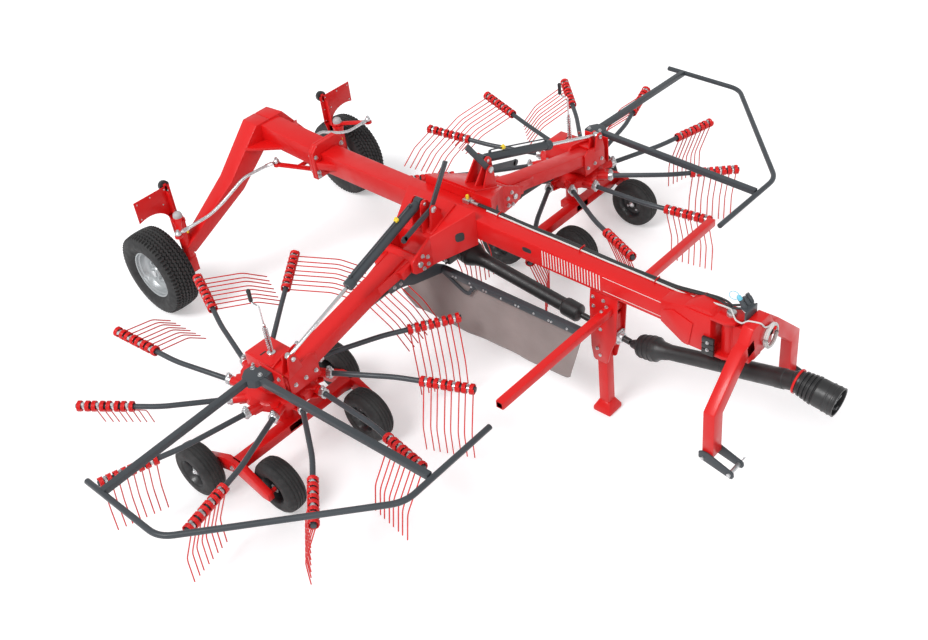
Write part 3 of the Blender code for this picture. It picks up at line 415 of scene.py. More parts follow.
# one copy of a fastener on each point, turned by the point's own angles and scaled by its size
def fastenerTree():
    tree, start, end, add = newTree('fasteners on points', (('Head Radius', 'Float'), ('Head Height', 'Float'),
                                                           ('Washer Radius', 'Float'), ('Material', 'Material')))
    head = add('GeometryNodeMeshCylinder', {'Vertices': 6, 'Radius': start.outputs['Head Radius'],
                                            'Depth': start.outputs['Head Height']})
    half = add('ShaderNodeMath', {0: start.outputs['Head Height'], 1: 0.6}, operation='MULTIPLY')
    lift = add('ShaderNodeCombineXYZ', {'Z': half.outputs[0]})
    raised = add('GeometryNodeTransform', {'Geometry': head.outputs['Mesh'], 'Translation': lift.outputs[0]})
    washer = add('GeometryNodeMeshCylinder', {'Vertices': 14, 'Radius': start.outputs['Washer Radius'],
                                              'Depth': 0.004})
    tip = add('GeometryNodeMeshCylinder', {'Vertices': 8, 'Depth': 0.004})
    tipR = add('ShaderNodeMath', {0: start.outputs['Head Radius'], 1: 0.5}, operation='MULTIPLY')
    tree.links.new(tipR.outputs[0], tip.inputs['Radius'])
    top = add('ShaderNodeMath', {0: start.outputs['Head Height'], 1: 1.15}, operation='MULTIPLY')
    topAt = add('ShaderNodeCombineXYZ', {'Z': top.outputs[0]})
    tipUp = add('GeometryNodeTransform', {'Geometry': tip.outputs['Mesh'], 'Translation': topAt.outputs[0]})
    both = add('GeometryNodeJoinGeometry')
    for part in (raised, washer, tipUp):
        tree.links.new(part.outputs[0], both.inputs[0])
    angles = add('GeometryNodeInputNamedAttribute', {'Name': 'angles'}, data_type='FLOAT_VECTOR')
    size = add('GeometryNodeInputNamedAttribute', {'Name': 'size'}, data_type='FLOAT')
    turn = add('FunctionNodeEulerToRotation', {0: angles.outputs[0]})
    copies = add('GeometryNodeInstanceOnPoints', {'Points': start.outputs['Geometry'], 'Instance': both.outputs[0],
                                                  'Rotation': turn.outputs[0], 'Scale': size.outputs[0]})
    return closeTree(tree, start, end, add, copies.outputs[0])


# one wound coil on each point, its axis along the point's own angles
def coilTree():
    tree, start, end, add = newTree('coils on points', (('Coil Radius', 'Float'), ('Wire Radius', 'Float'),
                                                       ('Turns', 'Float'), ('Length', 'Float'),
                                                        ('Material', 'Material')))
    helix = add('GeometryNodeCurveSpiral', {'Resolution': 11, 'Rotations': start.outputs['Turns'],
                                            'Start Radius': start.outputs['Coil Radius'],
                                            'End Radius': start.outputs['Coil Radius'],
                                            'Height': start.outputs['Length']})
    wire = add('GeometryNodeCurvePrimitiveCircle', {'Resolution': 6, 'Radius': start.outputs['Wire Radius']})
    mesh = add('GeometryNodeCurveToMesh', {'Curve': helix.outputs[0], 'Profile Curve': wire.outputs[0],
                                           'Fill Caps': True})
    half = add('ShaderNodeMath', {0: start.outputs['Length'], 1: -0.5}, operation='MULTIPLY')
    down = add('ShaderNodeCombineXYZ', {'Z': half.outputs[0]})
    centred = add('GeometryNodeTransform', {'Geometry': mesh.outputs[0], 'Translation': down.outputs[0]})
    angles = add('GeometryNodeInputNamedAttribute', {'Name': 'angles'}, data_type='FLOAT_VECTOR')
    turn = add('FunctionNodeEulerToRotation', {0: angles.outputs[0]})
    copies = add('GeometryNodeInstanceOnPoints', {'Points': start.outputs['Geometry'], 'Instance': centred.outputs[0],
                                                  'Rotation': turn.outputs[0]})
    return closeTree(tree, start, end, add, copies.outputs[0])


# copies of one form in a row
def rowTree():
    tree, start, end, add = newTree('form in a row', (('Count', 'Int'), ('Step', 'Vector'), ('Material', 'Material')))
    line = add('GeometryNodeMeshLine', {'Count': start.outputs['Count'], 'Offset': start.outputs['Step']},
               mode='OFFSET')
    copies = add('GeometryNodeInstanceOnPoints', {'Points': line.outputs[0], 'Instance': start.outputs['Geometry']})
    return closeTree(tree, start, end, add, copies.outputs[0])


# runs a tree on a mesh and hands back the plain mesh
def grown(tree, mesh, values):
    ob = placed('growing', mesh)
    mod = ob.modifiers.new('grow', 'NODES')
    mod.node_group = tree
    for item in tree.interface.items_tree:
        if item.in_out == 'INPUT' and item.name in values:
            mod[item.identifier] = values[item.name]
    deps = bpy.context.evaluated_depsgraph_get()
    result = bpy.data.meshes.new_from_object(ob.evaluated_get(deps))
    bpy.data.objects.remove(ob)
    return result


# points that carry a direction for their Z axis, and a size
def pointCloud(spots):
    mesh = bpy.data.meshes.new('spots')
    mesh.from_pydata([tuple(spot[0]) for spot in spots], [], [])
    mesh.attributes.new('angles', 'FLOAT_VECTOR', 'POINT')
    mesh.attributes.new('size', 'FLOAT', 'POINT')
    angles, size = mesh.attributes['angles'], mesh.attributes['size']
    for k, spot in enumerate(spots):
        angles.data[k].vector = Vector(spot[1]).to_track_quat('Z', 'Y').to_euler()
        size.data[k].value = spot[2] if len(spot) > 2 else 1.0
    return mesh


fasteners, coils, rows = fastenerTree(), coilTree(), rowTree()
boltValues = {'Head Radius': 0.0115, 'Head Height': 0.010, 'Washer Radius': 0.0145}
boltSpots = {}


# notes a bolt: where, which way its head looks, and its size against the usual one; all are made at the end
def bolt(body, place, look, size=1.0):
    boltSpots.setdefault(body, []).append((Vector(place), Vector(look), size))


def boltPieces():
    for body, spots in boltSpots.items():
        form = Form('bolts_' + body)
        form.add(grown(fasteners, pointCloud(spots), {**boltValues, 'Material': zinc}))
        form.done(zinc, body, smooth=30)


print('tools ready')

sides = (('right', -1), ('left', 1))
seat, pinPlay = 0.0003, 0.0008  # air between seated faces, and round a pin

rotorValues = {
    'x': -0.005, 'y': 1.617, 'z': 0.644, 'lean': radians(2.4), 'rise': radians(1.1), 'count': 11,
    'socketR': 0.337, 'inner': 0.473, 'tubeR': 0.019, 'sweep': radians(20.6), 'knee': radians(7.3),
    'coilStart': 0.173, 'coilEnd': 0.567, 'pairs': 4, 'spread': 0.027, 'tineR': 0.0046, 'tineUpper': 0.354,
    'tineLower': 0.218, 'kink': radians(21), 'lead': 0.021,
    'coil': {'Coil Radius': 0.0335, 'Wire Radius': 0.0056, 'Turns': 3.6, 'Length': 0.031},
    # first arm's angle, way of turning, and how far the cam turns each arm's tines from straight down
    'right': (182.4, 1, (57, 64, 40, 0, 0, 10, 0, 0, 0, 24, 50)),
    'left': (145.0, -1, (59, 35, 28, 0, 0, 0, 0, 0, 5, 50, 76)),
    'hubProfile': [(0.0505, -0.055), (0.225, -0.055), (0.262, -0.03), (0.262, 0.03), (0.235, 0.052), (0.14, 0.058),
                   (0.12, 0.075), (0.0505, 0.075)],
    'starPoints': ((-13, 0.224), (-7, 0.262), (-3.5, 0.298), (3.5, 0.298), (7, 0.262)),
    'clampProfile': [(0.0215, -0.010), (0.033, -0.010), (0.035, -0.006), (0.035, 0.026), (0.031, 0.031),
                     (0.0215, 0.031)],
}


# the axes of every arm of one rotor
def rotorArms(side, s):
    v = rotorValues
    first, turn, rolls = v[side]
    centre = Vector((v['x'], s * v['y'], v['z']))
    lean = Matrix.Rotation(v['lean'], 3, 'Y')
    for k, roll in enumerate(rolls):
        a, r = radians(first - 360 / v['count'] * k), radians(roll)
        flat = lean @ Vector((cos(a), sin(a), 0))
        up = lean @ Vector(zAxis)
        et = lean @ Vector((-sin(a), cos(a), 0)) * -turn
        er = flat * cos(v['rise']) + up * sin(v['rise'])
        n = up * cos(v['rise']) - flat * sin(v['rise'])
        d1 = er * cos(v['sweep']) + et * sin(v['sweep'])
        back = et * cos(v['sweep']) - er * sin(v['sweep'])
        bend = back * cos(r) + n * sin(r)
        down = back * sin(r) - n * cos(r)
        d2 = d1 * cos(v['knee']) + bend * sin(v['knee'])
        trail = bend * cos(v['knee']) - d1 * sin(v['knee'])
        root = centre + er * v['socketR']
        yield {'centre': centre, 'up': up, 'er': er, 'et': et, 'd1': d1, 'd2': d2, 'down': down, 'trail': trail,
               'root': root, 'knee': root + d1 * v['inner'], 'angle': a}


def rotorPieces(side, s):
    v = rotorValues
    body = 'rotor_' + side
    arms = list(rotorArms(side, s))
    centre = arms[0]['centre']
    hub = Form('rotorHub_' + side, 0.005)
    hub.turned(v['hubProfile'], centre, zAxis, 48)
    # scalloped cover plates that run out to the sockets
    star = []
    for arm in arms:
        for off, reach in v['starPoints']:
            b = arm['angle'] - radians(off)
            star.append((centre.x + reach * cos(b), centre.y + reach * sin(b)))
    for z in (0.036, -0.048):
        hub.slab('z', star, centre.z + z, centre.z + z + 0.012, 0.003)
    hub.lean(centre, v['lean'])
    tubes, clamps, tines = Form('rotorTubes_' + side), Form('rotorClamps_' + side), Form('rotorTines_' + side)
    coilSpots = []
    pitch = (v['coilEnd'] - v['coilStart']) / v['pairs']
    for arm in arms:
        root, knee, d1, d2 = arm['root'], arm['knee'], arm['d1'], arm['d2']
        hub.tube([root - d1 * 0.135, root - d1 * 0.075, root - d1 * 0.004], 0.033, 16)
        hub.bar([root - d1 * 0.15 + arm['up'] * 0.03, root - d1 * 0.045 + arm['up'] * 0.026], 0.010, 0.022,
                edge=0.002)
        clamps.turned(v['clampProfile'], root, d1, 18)
        lug = root + d1 * 0.010 + arm['up'] * 0.034
        clamps.bar([lug - d1 * 0.016, lug + d1 * 0.016], 0.034, 0.022, edge=0.003)
        bolt(body, lug + arm['up'] * 0.011, arm['up'], 1.15)
        bolt(body, root + d1 * 0.010 - arm['up'] * 0.036, -arm['up'], 1.0)
        tubes.tube(bent([root - d1 * 0.02, knee, knee + d2 * (v['coilEnd'] + 0.004)], 0.075, 5), v['tubeR'], 16,
                   edge=0.003)
        for c in range(v['pairs']):
            mid = knee + d2 * (v['coilStart'] + pitch * (c + 0.5))
            bolt(body, mid - arm['down'] * 0.024, -arm['down'], 1.0)
            clamps.turned(sleeve(0.0195, 0.0245, -0.008, 0.008), mid, d2, 14)
            for shift in (-v['spread'], v['spread']):
                spot = mid + d2 * shift
                coilSpots.append((spot, d2))
                start = spot - arm['trail'] * v['lead']
                lower = arm['down'] * cos(v['kink']) + arm['trail'] * sin(v['kink'])
                corner = start + lower * v['tineUpper']
                path = [start, corner, corner + arm['down'] * v['tineLower']]
                tines.wire(bent(path, 0.035, 3), v['tineR'], 6, up=d2)
    hub.done(redPaint, body, ('rotor_' + side,))
    tubes.done(greyPaint, body)
    clamps.done(zinc, body)
    wound = Form('rotorCoils_' + side)
    wound.add(grown(coils, pointCloud(coilSpots), {**v['coil'], 'Material': redPaint}))
    wound.done(redPaint, body, smooth=60)
    tines.done(redPaint, body, smooth=60)


for side, s in sides:
    rotorPieces(side, s)
print('rotors made')

tyreValues = {'x': -2.210, 'track': 1.083, 'radius': 0.364, 'half': 0.125, 'bead': 0.205, 'segments': 384,
              'waves': 64, 'lugs': 64, 'grooveDepth': 0.014, 'waveSize': 0.0062, 'grooveHalf': 0.0034,
              'grooveWall': 0.0022, 'shoulder': 0.080, 'gapHalf': 0.17, 'gapWall': 0.07, 'treadHalf': 0.107,
              'treadRows': 72, 'crown': 0.0105, 'crownPower': 2.4,
              'grooves': (-0.062, -0.031, 0.0, 0.031, 0.062),
              'capProfile': [(0, 0.030), (0.033, 0.030), (0.034, 0.062), (0.030, 0.070), (0, 0.073)]}


# the tread is a height field: wavy grooves round the tyre and blocks on its shoulders
def treadDepth(across, turn):
    v = tyreValues
    depth = 0.0
    for k, place in enumerate(v['grooves']):
        middle = place + v['waveSize'] * sin(turn * v['waves'] + (k % 2) * pi)
        depth = max(depth, 1.0 - max(0.0, abs(across - middle) - v['grooveHalf']) / v['grooveWall'])
    if abs(across) > v['shoulder']:
        phase = (turn * v['lugs'] / (2 * pi) + (0.5 if across > 0 else 0.0)) % 1.0
        gap = 1.0 - max(0.0, abs(phase - 0.5) - v['gapHalf']) / v['gapWall']
        depth = max(depth, gap)
    return v['grooveDepth'] * min(1.0, max(0.0, depth))


def rearTyre(side, s):
    v = tyreValues
    full, w, b = v['radius'], v['half'], v['bead']
    wall = [(b + 0.0003, -0.086), (b + 0.010, -0.098), (b + 0.024, -w + 0.016), (b + 0.034, -w + 0.007),
            (b + 0.060, -w), (b + 0.068, -w), (b + 0.080, -w + 0.001), (b + 0.105, -w + 0.004),
            (full - 0.036, -w + 0.010), (full - 0.022, -w + 0.014)]
    edge, rowCount, count = v['treadHalf'], v['treadRows'], v['segments']
    across = [-edge + 2 * edge * k / rowCount for k in range(rowCount + 1)]
    centre = Vector((v['x'], s * v['track'], full))
    profile = [(r, h, False) for r, h in wall] + [(0, h, True) for h in across]
    profile += [(r, -h, False) for r, h in reversed(wall)]
    rings = []
    for r, h, tread in profile:
        ring = []
        for k in range(count):
            t = 2 * pi * k / count
            crown = v['crown'] * (abs(h) / edge) ** v['crownPower']
            radius = full - crown - treadDepth(h, t) if tread else r
            ring.append(centre + Vector((radius * cos(t), h, radius * sin(t))))
        rings.append(ring)
    form = Form('rearTyre_' + side)
    form.skin(rings, 0, runsRound=True)
    form.done(rubber, 'rear_wheel_' + side, ('rear_tyre_' + side,), smooth=50)


def rearRim(side, s):
    v = tyreValues
    centre, out = Vector((v['x'], s * v['track'], v['radius'])), Vector((0, s, 0))
    b = v['bead']
    form = Form('rearRim_' + side)
    form.turned([(0.031, -0.060), (0.056, -0.060), (0.060, -0.056), (0.060, 0.002), (0.075, 0.006), (0.120, 0.004),
                 (0.150, 0.008), (0.168, -0.010), (0.173, -0.060), (0.190, -0.074), (b, -0.078), (b + 0.006, -0.088),
                 (b + 0.002, -0.094), (b - 0.008, -0.090), (b - 0.016, -0.080), (0.183, -0.072), (0.180, -0.040),
                 (0.180, 0.030), (0.187, 0.062), (0.196, 0.078), (b - 0.008, 0.090), (b + 0.002, 0.094),
                 (b + 0.006, 0.088), (b, 0.080), (0.182, 0.066), (0.172, 0.034), (0.160, 0.022), (0.120, 0.016),
                 (0.085, 0.020), (0.066, 0.020), (0.060, 0.030), (0.052, 0.052), (0.044, 0.058), (0.031, 0.058)],
                centre, out, 64)
    form.done(silverRim, 'rear_wheel_' + side, ('rear_rim_' + side,), smooth=40)
    cap = Form('rearHubCap_' + side)
    cap.turned(v['capProfile'], centre, out, 32)
    cap.done(zinc, 'rear_wheel_' + side)
    for k in range(6):
        t = pi / 3 * k + 0.3
        bolt('rear_wheel_' + side, centre + Vector((0.086 * cos(t), s * 0.021, 0.086 * sin(t))), out, 1.1)


wheelValues = {'radius': 0.204, 'half': 0.080, 'frontX': 0.336, 'rearX': -0.240, 'outerY': 2.137, 'innerY': 1.079,
               'bar': 0.05, 'gap': 0.010, 'crown': 0.0068, 'treadHalf': 0.05, 'groove': 0.0045,
               'treadPlaces': (-0.050, -0.042, -0.040, -0.034, -0.032, -0.016, -0.014, -0.008, -0.006),
               'grooved': (2, 3, 6, 7),
               'rimProfile': [(0.0175, -0.050), (0.034, -0.050), (0.036, -0.040), (0.040, 0.010), (0.090, 0.012),
                              (0.096, -0.050), (0.108, -0.070), (0.110, -0.066), (0.1045, -0.030), (0.1045, 0.030),
                              (0.110, 0.066), (0.108, 0.070), (0.098, 0.058), (0.088, 0.028), (0.062, 0.022),
                              (0.050, 0.026), (0.036, 0.028), (0.034, 0.044), (0.0175, 0.044)],
               'hubProfile': [(0, 0.036), (0.022, 0.036), (0.024, 0.048), (0.017, 0.052), (0.011, 0.060), (0, 0.062)],
               'pivotCap': [(0, 0), (0.032, 0), (0.034, 0.006), (0.026, 0.010), (0, 0.010)]}


def rotorWheelPlaces():
    v = wheelValues
    off = v['bar'] / 2 + v['gap'] + v['half']
    return (('outer_front', v['frontX'], v['outerY'] - off, -1), ('outer_rear', v['rearX'], v['outerY'] + off, 1),
            ('inner_front', v['frontX'], v['innerY'] + off, 1), ('inner_rear', v['rearX'], v['innerY'] - off, -1))


def rotorWheels(side, s):
    v = wheelValues
    full, w = v['radius'], v['half']
    for name, x, y, out in rotorWheelPlaces():
        body = f'rotor_wheel_{side}_{name}'
        centre, axis = Vector((x, s * y, full)), Vector((0, s * out, 0))
        tyre = Form('rotorTyre_' + side + '_' + name)
        profile = [(0.106, -w + 0.012), (0.112, -w + 0.006), (0.122, -w + 0.003), (0.130, -w + 0.004), (0.150, -w),
                    (0.168, -w + 0.004), (0.182, -w + 0.012), (0.193, -w + 0.024)]
        for k, h in enumerate(v['treadPlaces']):
            crown = v['crown'] * (abs(h) / v['treadHalf']) ** 2
            profile.append((full - crown - (v['groove'] if k in v['grooved'] else 0), h))
        tyre.turned(profile + [(r, -h) for r, h in reversed(profile)], centre, axis, 72)
        tyre.done(rubber, body, (body,), smooth=45)
        rim = Form('rotorRim_' + side + '_' + name)
        rim.turned(v['rimProfile'], centre, axis, 48)
        rim.done(blackPaint, body, smooth=40)
        hub = Form('rotorHub_' + side + '_' + name)
        hub.turned(v['hubProfile'], centre, axis, 24)
        hub.done(zinc, body)
        for k in range(4):
            t = pi / 2 * k + 0.6
            bolt(body, centre + Vector((0.060 * cos(t), s * out * 0.023, 0.060 * sin(t))), axis, 0.8)


for side, s in sides:
    rearTyre(side, s)
    rearRim(side, s)
    rotorWheels(side, s)
print('wheels made')

beamValues = {'side': 0.165, 'rearX': -1.077, 'rearZ': 1.234, 'frontX': 2.30, 'frontZ': 1.164, 'flange': 0.025,
              'forkDrop': 0.097, 'forkRise': 0.025, 'hoodRise': 0.059,
              'pivotX': 2.49, 'pinR': 0.03, 'stripeStart': 1.094, 'stripeCount': 21, 'stripeStep': 0.0235,
              'bufferHeights': ((0.985, 1.030), (1.034, 1.073), (1.077, 1.117))}


def beamZ(x):
    v = beamValues
    return v['rearZ'] + (v['frontZ'] - v['rearZ']) * (x - v['rearX']) / (v['frontX'] - v['rearX'])


def beamLow(x):
    return beamZ(x) - beamValues['side'] / 2


def beamTop(x):
    return beamZ(x) + beamValues['side'] / 2


def flangeOutline():
    low, top = beamLow(beamValues['rearX']), beamTop(beamValues['rearX'])
    return [(-0.155, low - 0.035), (0.155, low - 0.035), (0.155, top + 0.03), (0.10, top + 0.08), (-0.10, top + 0.08),
            (-0.155, top + 0.03)]


def mainBeam():
    v = beamValues
    rearX, frontX, pivotX = v['rearX'], v['frontX'], v['pivotX']
    low, top = beamLow(frontX) - v['forkDrop'], beamTop(frontX) + v['forkRise']
    back = frontX - 0.26
    form = Form('mainBeam', 0.012)
    form.bar([(rearX, 0, v['rearZ']), (frontX, 0, v['frontZ'])], v['side'], v['side'])
    form.slab('x', flangeOutline(), rearX - v['flange'], rearX + 0.004, 0.003)
    # pivot box: a flared cheek on each side, closed by top and bottom plates
    cheek = [(back, beamLow(back)), (frontX - 0.10, low), (pivotX - 0.09, low), (pivotX - 0.09, top),
             (frontX - 0.10, top), (back, beamTop(back))]
    form.slab('y', cheek, -0.0865, 0.0865, 0.004)
    for s in (-1, 1):
        form.slab('y', [(back + 0.02, beamZ(back) + 0.02), (frontX - 0.085, low + 0.004),
                        (frontX - 0.05, low + 0.004),
                        (frontX - 0.02, top - 0.10), (back + 0.09, beamZ(back) + 0.05)], s * 0.0865, s * 0.094, 0.003)
    ear = [(pivotX - 0.10, -0.086), (pivotX, -0.086), (pivotX + 0.060, -0.060), (pivotX + 0.086, 0),
           (pivotX + 0.060, 0.060), (pivotX, 0.086), (pivotX - 0.10, 0.086)]
    form.slab('z', ear, top - 0.02, top + 0.005, 0.003)
    form.slab('z', ear, low - 0.005, low + 0.02, 0.003)
    # raised hood over the pivot box
    hood = [(back + 0.10, beamTop(back + 0.10) - 0.01), (frontX - 0.03, top + 0.034), (pivotX - 0.11, top + 0.034),
            (pivotX - 0.07, top)]
    form.slab('y', hood, -0.078, 0.078, 0.006)
    for s in (-1, 1):
        form.slab('z', mirrored(s, [(rearX, 0.081), (rearX + 0.16, 0.081), (rearX, 0.145)], 1), v['rearZ'] - 0.03,
                  v['rearZ'] + 0.03, 0.002)
        for z in (beamLow(rearX) - 0.012, beamZ(rearX) - 0.06, beamZ(rearX) + 0.07):
            bolt('frame', (rearX + 0.004, s * 0.133, z), xAxis, 1.3)
            bolt('frame', (rearX - 2 * v['flange'] - seat, s * 0.133, z), (-1, 0, 0), 1.3)
    form.done(redPaint, 'frame', ('main_beam',))
    pin = Form('pivotPin', 0.003)
    pin.tube([(pivotX, 0, low - 0.02), (pivotX, 0, top + 0.03)], v['pinR'], 20, edge=0.003)
    pin.done(zinc, 'frame')
    block = Form('bufferBlocks', 0.004)
    for s in (-1, 1):
        for z0, z1 in v['bufferHeights']:
            block.slab('y', [(2.352, z0), (2.436, z0 + 0.004), (2.436, z1 + 0.004), (2.352, z1)], s * 0.0868,
                       s * 0.108)
        for z in (1.031, 1.088):
            bolt('frame', (2.395, s * 0.108, z), (0, s, 0), 0.8)
    block.done(plastic, 'frame')


# painted stripes and border line on both sides of the beam, and its oval openings, each filled by a flat black oval
# of painted shade
def beamMarks():
    v = beamValues
    side = v['side'] / 2
    slope = (v['frontZ'] - v['rearZ']) / (v['frontX'] - v['rearX'])
    marks = Form('beamStripes', 0)
    for s in (-1, 1):
        one = Form('stripe', 0)
        x, z = v['stripeStart'], beamZ(v['stripeStart'])
        one.slab('y', sleeve(x, x + 0.0075, z - 0.058, z + 0.062), s * side, s * (side + 0.0006), 0)
        mesh = bpy.data.meshes.new('stripe')
        one.bm.to_mesh(mesh)
        marks.add(grown(rows, mesh, {'Count': v['stripeCount'], 'Step': (v['stripeStep'], 0, v['stripeStep'] * slope),
                                     'Material': whitePaint}))
        x0, x1 = 1.594, 2.13
        line = [(x0, beamZ(x0) + 0.058), (x1 - 0.012, beamZ(x1) + 0.058), (x1, beamZ(x1) + 0.046),
                (x1, beamZ(x1) - 0.040), (x1 - 0.012, beamZ(x1) - 0.052), (x0, beamZ(x0) - 0.052)]
        for a, b in zip(line, line[1:]):
            marks.bar([(a[0], s * side, a[1]), (b[0], s * side, b[1])], 0.0012, 0.0036, up=zAxis, edge=0)
    marks.done(whitePaint, 'frame')
    # a flat black oval in each opening of the beam: painted shade of the hole
    holes = Form('beamOpenings', 0.002)
    for s in (-1, 1):
        x, z = 0.963, beamZ(0.963) + 0.01138
        holes.slab('y', [(x + a, z + b) for a, b in oval(0.040, 0.6, 0.019, 0.7, 20)], s * (side - 0.004),
                   s * (side + 0.002))
    holes.done(plastic, 'frame')


mainBeam()
beamMarks()


# hoses and the pull rope, clipped along the top of the beam
hoseValues = {'start': 0.40, 'end': 2.26, 'hoseR': 0.0075, 'ropeR': 0.0060, 'places': (0.056, 0.072),
              'fittingProfile': [(0, -0.05), (0.008, -0.05), (0.012, -0.045), (0.012, -0.01), (0.014, -0.008),
                                 (0.014, 0.02), (0, 0.02)],
              'capProfile': [(0, 0), (0.013, 0), (0.013, 0.022), (0.010, 0.028), (0, 0.028)]}


def beamHoses():
    v = hoseValues
    top = beamTop(beamValues['frontX']) + beamValues['hoodRise']
    hoses, rope, clips = Form('beamHoses', 0), Form('beamRope', 0), Form('hoseClips', 0.001)
    for k, y in enumerate(v['places']):
        path = [(v['start'] - 0.05 * k, y, beamTop(v['start']) + v['hoseR'] + 0.0005)]
        for n in range(1, 9):
            x = v['start'] + (v['end'] - v['start']) * n / 9
            path.append((x, y + 0.004 * sin(n * 1.7 + k), beamTop(x) + v['hoseR'] + 0.001))
        path += [(2.36, y - 0.012, top + 0.012), (2.44, 0.016 + 0.014 * k, top + 0.020 + 0.014 * k),
                 (2.49, 0, top + 0.026 + 0.018 * k)]
        hoses.wire(bent(path, 0.05, 3), v['hoseR'], 12)
    path = [(v['start'] + 0.11, 0.040, beamTop(v['start'] + 0.11) + 0.007)]
    for n in range(1, 9):
        x = v['start'] + 0.1 + (v['end'] - v['start']) * n / 9
        path.append((x, 0.041 + 0.002 * sin(n * 2.3), beamTop(x) + v['ropeR'] + 0.001))
    path += [(2.43, 0.004, top + 0.010), (2.49, -0.006, top + 0.018)]
    rope.wire(bent(path, 0.05, 3), v['ropeR'], 10)
    for x in (0.62, 1.33, 1.92):
        z = beamTop(x)
        clips.bar([(x, 0.030, z + 0.001), (x, 0.033, z + 0.016), (x, 0.050, z + 0.0195), (x, 0.076, z + 0.0195),
                   (x, 0.0815, z + 0.001)], 0.016, 0.0025, up=xAxis, edge=0)
    hoses.done(hoseRubber, 'frame', smooth=60)
    rope.done(whiteRope, 'frame', smooth=60)
    clips.done(redPaint, 'frame')
    ends = Form('hoseFittings', 0.001)
    for k, y in enumerate(v['places']):
        x = v['start'] - 0.05 * k
        z = beamTop(x) + 0.0105
        ends.turned(v['fittingProfile'], (x, y, z), (1, 0, -0.02), 12)
    ends.block(0.29, 0.345, 0.030, 0.085, beamTop(0.32) - 0.002, beamTop(0.32) + 0.028, 0.003)
    ends.done(zinc, 'frame')
    cap = Form('fittingCaps', 0.002)
    cap.turned(v['capProfile'], (0.318, 0.058, beamTop(0.32) + 0.028), zAxis, 14)
    cap.done(yellowPlastic, 'frame')


beamHoses()
print('beam dressed')

rearValues = {'kingX': -2.030, 'kingY': 0.885, 'housingR': 0.045, 'pinR': 0.024, 'topZ': 0.815, 'lowZ': 0.44,
              'crankX': -1.272, 'crankZ': 1.067, 'endX': -1.612, 'endY': 0.124, 'armX': -1.805, 'armY': 1.048,
              'gusset': [(-1.78, 0.05), (-1.47, 0.05), (-1.78, 0.28)],
              'nutProfile': [(0, 0), (0.033, 0), (0.036, 0.004), (0.033, 0.018), (0, 0.018)],
              'rodNut': [(0, 0.018), (0.009, 0.018), (0.009, 0.040), (0.017, 0.042), (0.017, 0.052), (0.0155, 0.054),
                         (0.0155, 0.10), (0, 0.10)],
              'rodEye': [(0, -0.016), (0.019, -0.016), (0.024, -0.008), (0.024, 0.010), (0.016, 0.018),
                         (0.012, 0.024), (0, 0.024)]}


def rearFrame():
    v, b = rearValues, beamValues
    flangeX = b['rearX'] - b['flange'] - seat
    kx, ky = v['kingX'], v['kingY']
    form = Form('rearFrame', 0.009)
    form.slab('x', flangeOutline(), flangeX - b['flange'], flangeX, 0.003)
    form.bar([(flangeX - 0.01, 0, 1.247), (-1.80, 0, 1.292), (-1.94, 0, 1.297)], 0.185, 0.16)
    for s in (-1, 1):
        leg = [(-1.845, 0, 1.292), (-1.845, s * 0.09, 1.292), (-1.905, s * 0.390, 0.945),
               (kx, s * (ky - 0.01), 0.533)]
        form.bar(leg, 0.185, 0.185, up=xAxis, scales=(1.0, 1.0, 0.86, 0.55))
        form.slab('z', mirrored(s, v['gusset'], 1), 1.212, 1.236, 0.003)
        form.turned(sleeve(v['pinR'] + pinPlay, v['housingR'], v['lowZ'], v['topZ']), (kx, s * ky, 0), zAxis, 36)
        for z in (v['lowZ'], v['topZ'] - 0.022):
            form.turned([(v['housingR'] - 0.001, z), (v['housingR'] + 0.006, z + 0.002),
                         (v['housingR'] + 0.006, z + 0.018),
                         (v['housingR'] - 0.001, z + 0.020)], (kx, s * ky, 0), zAxis, 36)
    form.tube([(v['crankX'], 0, v['crankZ'] - 0.04), (v['crankX'], 0, 1.21)], 0.022, 20)
    form.turned(post(0.05, v['crankZ'] + 0.0135, 1.21), (v['crankX'], 0, 0), zAxis, 32)
    form.done(redPaint, 'frame', ('rear_frame',))
    nut = Form('crankNut', 0.002)
    nut.turned(v['nutProfile'], (v['crankX'], 0, v['crankZ'] - 0.057), zAxis, 6)
    nut.done(zinc, 'frame')


def knuckle(side, s):
    v, t = rearValues, tyreValues
    kx, ky, top, axleZ = v['kingX'], v['kingY'], v['topZ'], t['radius']
    form = Form('knuckle_' + side, 0.004)
    form.turned(post(v['pinR'], axleZ - 0.03, top + 0.03), (kx, s * ky, 0), zAxis, 24)
    form.block(kx - 0.04, kx + 0.035, s * (ky - 0.04), s * (ky + 0.035), axleZ - 0.05, v['lowZ'] - 0.004)
    form.bar([(kx - 0.01, s * ky, axleZ), (t['x'], s * (ky + 0.02), axleZ)], 0.06, 0.06)
    form.tube([(t['x'], s * (ky - 0.012), axleZ), (t['x'], s * (t['track'] + 0.03), axleZ)], 0.03, 24)
    # steering arm on top of the kingpin, with the seat of the tie rod's outer eye
    z = top + 0.014
    form.bar([(kx, s * ky, z), (v['armX'], s * v['armY'], z)], 0.05, 0.016, edge=0.003)
    form.turned([(0.0, z - 0.008), (0.040, z - 0.008), (0.042, z + 0.006), (0.036, z + 0.012), (0, z + 0.012)],
                (kx, s * ky, 0), zAxis, 32)
    form.turned(post(0.032, z - 0.008, z + 0.008), (v['armX'], s * v['armY'], 0), zAxis, 24)
    form.done(redPaint, 'knuckle_' + side, ('knuckle_' + side,))
    cap = Form('kingpinCap_' + side)
    cap.turned([(0, top + 0.026), (0.038, top + 0.026), (0.039, top + 0.036), (0.034, top + 0.058),
                (0.020, top + 0.070), (0, top + 0.073)], (kx, s * ky, 0), zAxis, 32)
    cap.done(greyPlastic, 'knuckle_' + side)


